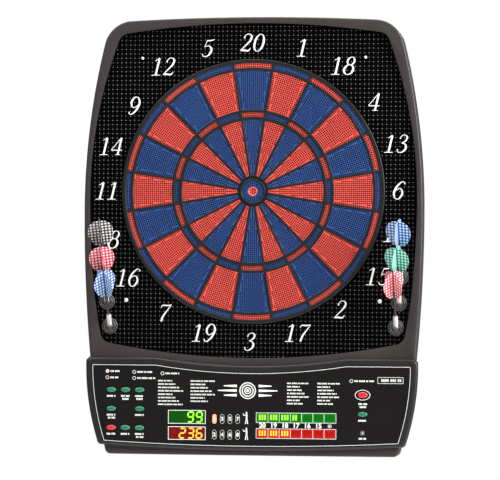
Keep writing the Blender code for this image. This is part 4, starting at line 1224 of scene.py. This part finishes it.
def make_score_display(name, place, lens, on, text):
    """A lens with a number of seven-bar digits, set from its right end."""
    x, z, width, height = place
    make_lens(name, place, lens)
    size = height * 0.94
    bars = []
    for i, digit in enumerate(reversed(text)):
        bars += digit_bars(x + width / 2 - (0.50 + i * 0.80) * size, z, size, SEGMENTS[digit])
    piece(f"{name}_bars", joined(bars), on)


def make_cricket_display(name, place, lens, on, off, counts):
    """Seven cells of three upright bars, lit from the left."""
    x, z, width, height = place
    make_lens(name, place, lens)
    bright, dull = [], []
    cell = width / CELLS
    for i, count in enumerate(counts):
        for bar in range(3):
            across = x - width / 2 + (i + 0.5) * cell + (bar - 1) * cell * 0.24
            outline = moved(rectangle(cell * 0.15, height * 0.62, 0.0004), across, z + height * 0.04)
            (bright if bar < count else dull).append(on_lens(outline))
    piece(f"{name}_bars_lit", joined(bright), on)
    piece(f"{name}_bars_dark", joined(dull), off)


def dot_line(x, z, radius, line, steps=28):
    return oval_line(x, z, radius, radius, line, steps)


def dot(x, z, radius, steps):
    return patch(moved(oval(radius, radius, steps), x, z))


def print_displays(white, grey):
    """Frames round the displays, dividers between the cells, and the numbers between the two rows."""
    for x, z, width, height in (SCORE_GREEN, SCORE_RED):
        white.append(box_line(x, z, width + 0.0034, height + 0.0030, 0.0009, 0.0006))
    for x, z, width, height in (CRICKET_GREEN, CRICKET_RED):
        grey.append(box_line(x, z, width + 0.0026, height + 0.0022, 0.0008, 0.0005))
        for i in range(1, CELLS):
            divider = moved(rectangle(0.0007, height), x - width / 2 + i * width / CELLS, z)
            grey.append(prism([divider], LENS_FRONT, LENS_FRONT + 2 * PRINT))
    left, cell = CRICKET_GREEN[0] - CRICKET_GREEN[2] / 2, CRICKET_GREEN[2] / CELLS
    middle = (CRICKET_GREEN[1] + CRICKET_RED[1]) / 2
    for i, value in enumerate((20, 19, 18, 17, 16, 15)):
        white.append(small_number(str(value), left + (i + 0.5) * cell, middle, 0.0100))
    last = left + (CELLS - 0.5) * cell
    white += [dot_line(last, middle, 0.0028, 0.0007), dot(last, middle, 0.0011, 16)]


def print_button_marks(white, grey, black):
    """A dark ring round each button and one or two rows of label under it."""
    for name, x, z, (half_width, half_height) in BUTTONS:
        inner = (half_width + 0.0005, half_height + 0.0005)
        outer = (0.0034, 0.0034) if name == RESET else (half_width + 0.0012, half_height + 0.0017)
        black.append(band(moved(oval(*outer, 48), x, z), moved(oval(*inner, 48), x, z), thick=0.00012))
        length = {START: 0.012, RESET: 0.011}.get(name, 0.013)
        drop = 0.0108 if name == START else 0.0076
        first = z - half_height - drop + 0.0020
        white += mark_row(x - length / 2, first, length, 0.0027, len(name))
        if name in TWO_ROW_LABELS:
            white += mark_row(x - length * 0.36, first - 0.0044, length * 0.72, 0.0027, len(name) + 3)
    white.append(oval_line(0.1685, -0.3035, 0.0115, 0.0078, 0.0009, 56))
    grey.append(dot_line(0.1685, -0.3602, 0.0036, 0.0005))


def print_lists(white, grey):
    """Indicators with their labels, the columns of short rows, and the framed plate at the right."""
    for x, z, length in INDICATORS:
        white.append(dot_line(x, z, 0.0027, 0.0007))
        white += mark_row(x + 0.0046, z, length, 0.0025, int(length * 1e3))
    for left, top, width, rows in LIST_COLUMNS:
        for row in range(rows):
            length = width * (0.50 + 0.38 * ((row * 5 + rows) % 4) / 3)
            white += mark_row(left, top - row * 0.00505, length, 0.0021, row * 3 + rows)
    x, z, width, height = PLATE
    grey.append(box_line(x, z, width, height, 0.0007, 0.0008))
    grey += mark_row(x - width * 0.36, z, width * 0.74, 0.0040, 4)


def print_player_lamps(white, grey):
    """Two rows of numbered lamps, all but the lit one with a line round them."""
    width, height = LAMP
    for i in range(4):
        x = LAMP_LEFT + i * 0.0117
        for row, z in enumerate((LAMP_TOP, -0.3647)):
            if i or row:
                grey.append(box_line(x, z, width, height, 0.0006, 0.0028))
            white.append(small_number(str(2 * i + 1 + row), x, z, 0.0078))


def make_printing():
    white, grey, black = [], [], []
    grey.append(band(panel_outline(0.0011), panel_outline(0.0019)))
    print_displays(white, grey)
    print_button_marks(white, grey, black)
    print_lists(white, grey)
    print_player_lamps(white, grey)
    lamps = [patch(moved(rectangle(*LAMP, 0.0030), LAMP_LEFT, LAMP_TOP), PRINT * 0.6)]
    lamps.append(dot(INDICATORS[0][0], INDICATORS[0][1], 0.0019, 20))
    for z in (-0.3395, -0.3632):
        white += player_figure(LAMP_LEFT + 0.0480, z)
    white += make_emblem()
    piece("console_print_white", joined(white), WHITE_INK)
    piece("console_print_grey", joined(grey), GREY_INK)
    piece("console_print_black", joined(black), BLACK_GLOSS)
    piece("console_lamps", joined(lamps), LAMP_LIT)


def player_figure(x, z):
    """A small plain mark of a standing thrower: a body, a raised arm, two legs and a head."""
    outlines = (
        [(-0.0008, 0.0056), (0.0020, 0.0056), (0.0018, -0.0012), (-0.0006, -0.0012)],
        [
            (-0.0004, 0.0054), (-0.0036, 0.0046), (-0.0046, 0.0074), (-0.0052, 0.0070), (-0.0040, 0.0032),
            (-0.0004, 0.0040),
        ],
        [(-0.0006, -0.0008), (0.0006, -0.0008), (-0.0004, -0.0088), (-0.0018, -0.0088)],
        [(0.0005, -0.0008), (0.0018, -0.0008), (0.0030, -0.0088), (0.0016, -0.0088)],
        moved(oval(0.0014, 0.0016, 16), 0.0004, 0.0076),
    )
    return [patch(moved(outline, x, z)) for outline in outlines]


def make_emblem():
    """A plain ornament of rings between two groups of tapering bars."""
    x, z = -0.0040, -0.2985
    start = 0.0165
    shapes = [dot_line(x, z, radius, 0.0016, 48) for radius in (0.0125, 0.0090, 0.0052)]
    shapes.append(dot(x, z, 0.0022, 24))
    for side in (-1, 1):
        for rise, reach in ((0.0070, 0.036), (0.0, 0.045), (-0.0070, 0.036)):
            bar = [(start, 0.0020), (reach, 0.0007), (reach, -0.0007), (start, -0.0020)]
            shapes.append(patch([(x + side * along, z + rise + up) for along, up in bar]))
    return shapes


def make_buttons():
    """Domed oval caps, each with a flange behind the panel and a stem down to its switch."""
    stem_back, flange_back, flange_front, flange = 0.0369, 0.0407, 0.0422, 0.0014
    for name, x, z, (half_width, half_height) in BUTTONS:
        top, rise = (0.0450, 0.0012) if name == RESET else (0.0478, 0.0022)
        profile = [
            (0, stem_back), (half_width * 0.6, stem_back), (half_width * 0.6, flange_back),
            (half_width + flange, flange_back), (half_width + flange, flange_front), (half_width, flange_front),
        ]
        profile += [
            (half_width * math.cos(a) ** 0.7, top - rise + rise * math.sin(a))
            for a in (math.pi / 2 * i / 9 for i in range(9))
        ]
        shape = turned(profile + [(0, top)], 56)
        bmesh.ops.scale(shape, vec=(1, 1, half_height / half_width), verts=shape.verts)
        colour, slot = BUTTON_FINISHES.get(name, (GREEN_RUBBER, "button_green"))
        piece(f"{name}_cap", put(shape, at(x, z)), colour, name, (name,), 50)


# ---- Darts -------------------------------------------------------------------------------------


def dart_frame(x, z, roll):
    """From a dart's own frame, +Y towards its tip, to its place in its holder."""
    tilt = Matrix.Rotation(DART_TILT - math.pi / 2, 4, "X")
    return Matrix.Translation((x, -FIELD_FRONT, z)) @ tilt @ Matrix.Rotation(math.radians(roll), 4, "Y")


def make_holder(ending, x, z, roll):
    """A round seat with two raised ridges, and a slanted tube with a bore for a dart's barrel; the ridge crests
    and the mouth carry a painted highlight.
    """
    seat = FIELD_FRONT + 0.0003
    ridges = (
        (0, 0), (HOLDER_RADIUS, 0), (HOLDER_RADIUS, 0.0012), (0.0117, 0.0020), (0.0111, 0.0024),
        (0.0105, 0.0020), (0.0102, 0.0010), (0.0094, 0.0010), (0.0091, 0.0026), (0.0087, 0.0033),
        (0.0082, 0.0036), (0.0077, 0.0033), (0.0074, 0.0022), (0, 0.0022),
    )
    base = put(turned([(radius, seat + rise) for radius, rise in ridges], 64), at(x, z))
    tube = turned(
        [(0, -0.030), (0.0058, -0.030), (0.0064, -0.0292), (0.0064, 0.0024), (0.0060, 0.0030), (0, 0.0030)], 48
    )
    place = dart_frame(x, z, roll)
    bore = put(disc(0.0046, -0.060, 0.060, 48), place)
    shape = carved(base, [("UNION", put(tube, place)), ("DIFFERENCE", bore)])
    to_dart = place.inverted()
    for face in shape.faces:
        middle = face.calc_center_median()
        out = math.hypot(middle.x - x, middle.z - z)
        # Ridge crests and the mouth of the tube take the painted highlight.
        on_ridge = -middle.y > seat + 0.0019 and (0.0107 < out < 0.0116 or 0.0079 < out < 0.0086)
        on_mouth = (to_dart @ middle).y < -0.0020 and face.normal.y < 0
        face.material_index = 1 if on_ridge or on_mouth else 0
    name = f"dart_holder_{ending}"
    finishes = [HOLDER_RUBBER, HOLDER_PAINTED_HIGHLIGHT]
    piece(f"{name}_cup", shape, finishes, stands_for=(name,), sharp=40)


def barrel_profile():
    """A barrel with a row of shallow grooves."""
    crest, root = BARREL_RADIUS, 0.00345
    profile = [(0, -0.0223), (0.0030, -0.0223), (0.00340, -0.0210), (crest, -0.0187)]
    start = -0.0175
    for _ in range(26):
        profile += [(crest, start), (root, start + 0.00025), (root, start + 0.00060), (crest, start + 0.00085)]
        start += 0.00125
    return profile + [(crest, 0.0192), (0.0034, 0.0204), (0.0027, 0.0220), (0, 0.0220)]


def make_dart(ending, x, z, roll, film):
    place = dart_frame(x, z, roll)
    body = f"dart_{ending}"
    for part, profile, steps, made, sharp in (
        ("tip", TIP_PROFILE, 24, TIP_PLASTIC, 50),
        ("barrel", barrel_profile(), 40, BARREL_STEEL, 25),
        ("shaft", SHAFT_PROFILE, 28, SHAFT_PLASTIC, 40),
    ):
        piece(f"{body}_{part}", put(turned(profile, steps), place), made, body, sharp=sharp)
    wings = [put(wing(), Matrix.Rotation(quarter * math.pi / 2, 4, "Y")) for quarter in range(4)]
    piece(f"{body}_flight", put(joined(wings), place), film, body, (body,), 60)


def wing():
    """One wing of a flight: a thin sheet from the shaft out to rounded shoulders, mapped in squares."""
    reach, start, end, bulge, taper, thickness = 0.0189, 0.0552, 0.0992, 2.6, 0.24, 0.0004
    line = []
    for i in range(25):
        along = -math.cos(math.pi * i / 24)
        width = reach * (1 - abs(along) ** bulge) ** (1 / bulge) * (1 - taper * max(0.0, -along))
        line.append((max(0.0006, width), (start + end) / 2 + along * (end - start) / 2))
    shape = bmesh.new()
    lay = shape.loops.layers.uv.new(WING_MAP)
    face = shape.faces.new([shape.verts.new((r, -s, -thickness / 2)) for r, s in line])
    thickened(shape, [face], (0, 0, thickness))
    for side in shape.faces:
        for loop in side.loops:
            loop[lay].uv = (loop.vert.co.x / CHECK, -loop.vert.co.y / CHECK)
    return shape


# ---- Small fittings ----------------------------------------------------------------------------


def make_jack_pin():
    pin = turned([(0, 0), (0.0006, 0), (0.0010, 0.0008), (0.0010, 0.0085), (0, 0.0085)], 20)
    put(pin, UPRIGHT.inverted())
    put(pin, at(JACK_X, HOUSING_BOTTOM + 0.0036, JACK_FORWARD))
    # The pin shares the screws' near-white steel, which carries a painted highlight.
    piece("dc_jack_pin", pin, SCREW_STEEL_PAINTED_HIGHLIGHT)


def dress_nodes():
    """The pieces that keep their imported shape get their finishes."""
    kept = {
        "membrane_sheet": FILM, "foam_pad": FOAM, "main_board": CIRCUIT, "speaker": STEEL,
        "dc_jack": JACK_PLASTIC,
    }
    for name, made in kept.items():
        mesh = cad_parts[name].data
        if not mesh.materials:
            mesh.materials.append(made)
        for i in range(len(mesh.materials)):
            mesh.materials[i] = made


# ---- Stage -------------------------------------------------------------------------------------


def make_floor():
    floor_shape = bmesh.new()
    bmesh.ops.create_grid(floor_shape, x_segments=2, y_segments=2, size=6.0)
    put(floor_shape, Matrix.Translation((0, 0, -1.40)))
    floor = in_scene("floor", meshed("floor", floor_shape))
    pale = finish("pale_floor", (0.92, 0.92, 0.92), 0.75, mottle=0.01, grain=60.0, bump=0.02)
    floor.data.materials.append(pale)


def make_studio():
    """A white surround that lights the board only weakly, and five soft lamps."""
    scene = bpy.context.scene
    scene.world = scene.world or bpy.data.worlds.new("studio")
    scene.world.use_nodes = True
    tree = scene.world.node_tree
    surround = tree.nodes["Background"]
    set_inputs(surround, Color=(1, 1, 1, 1))
    sight = node(tree, "LightPath")
    level = node(tree, "MapRange", To_Min=0.18, To_Max=1.0)
    link(tree, sight, "Is Camera Ray", level, "Value")
    link(tree, level, "Result", surround, "Strength")
    scene.view_settings.view_transform = "Standard"
    for name, place, size, power in (
        ("left_light", (-2.2, -1.9, 2.3), 1.6, 64.0),
        ("right_light", (2.7, -1.7, 1.5), 1.4, 124.0),
        ("top_light", (0.0, -0.6, 2.9), 1.8, 74.0),
        ("side_light", (3.3, -0.9, 0.5), 1.2, 90.0),
        ("back_light", (0.0, 2.6, 1.6), 1.6, 60.0),
    ):
        lamp = bpy.data.lights.new(name, "AREA")
        lamp.shape = "SQUARE"
        lamp.size = size
        lamp.energy = power
        aim(in_scene(name, lamp), Vector(place), Vector((0, -0.03, -0.06)))


def aim(obj, place, target, roll=0.0):
    turn = (target - place).to_track_quat("-Z", "Y").to_matrix().to_4x4()
    obj.matrix_world = Matrix.Translation(place) @ turn @ Matrix.Rotation(roll, 4, "Z")


def make_camera():
    lens = bpy.data.cameras.new("camera")
    lens.lens = 220.8
    lens.sensor_width = 36.0
    lens.clip_end = 50.0
    camera = in_scene("camera", lens)
    aim(camera, Vector((0.624, -4.590, -0.171)), Vector((-0.0036, -0.033, -0.073)), math.radians(0.34))
    bpy.context.scene.camera = camera


make_camera()
make_rear_cover()
make_front_frame()
make_number_field()
make_field_studs()
make_field_screws()
make_numerals()
make_sectors()
make_spider()
make_bulls()
make_console()
make_score_display("score_display_green", SCORE_GREEN, GREEN_LENS, GREEN_LIT, "99")
make_score_display("score_display_red", SCORE_RED, RED_LENS, RED_LIT, "236")
GREEN_MARKS, RED_MARKS = (3, 3, 3, 2, 0, 0, 0), (3, 3, 3, 0, 0, 0, 0)
make_cricket_display("cricket_display_green", CRICKET_GREEN, GREEN_CELL, GREEN_LIT, GREEN_DIM, GREEN_MARKS)
make_cricket_display("cricket_display_red", CRICKET_RED, RED_CELL, RED_LIT, RED_DIM, RED_MARKS)
make_printing()
make_buttons()
for ending, x, z, roll, film in HOLDERS:
    make_holder(ending, x, z, roll)
    make_dart(ending, x, z, roll, FLIGHTS[film])
make_jack_pin()
dress_nodes()
make_floor()
make_studio()
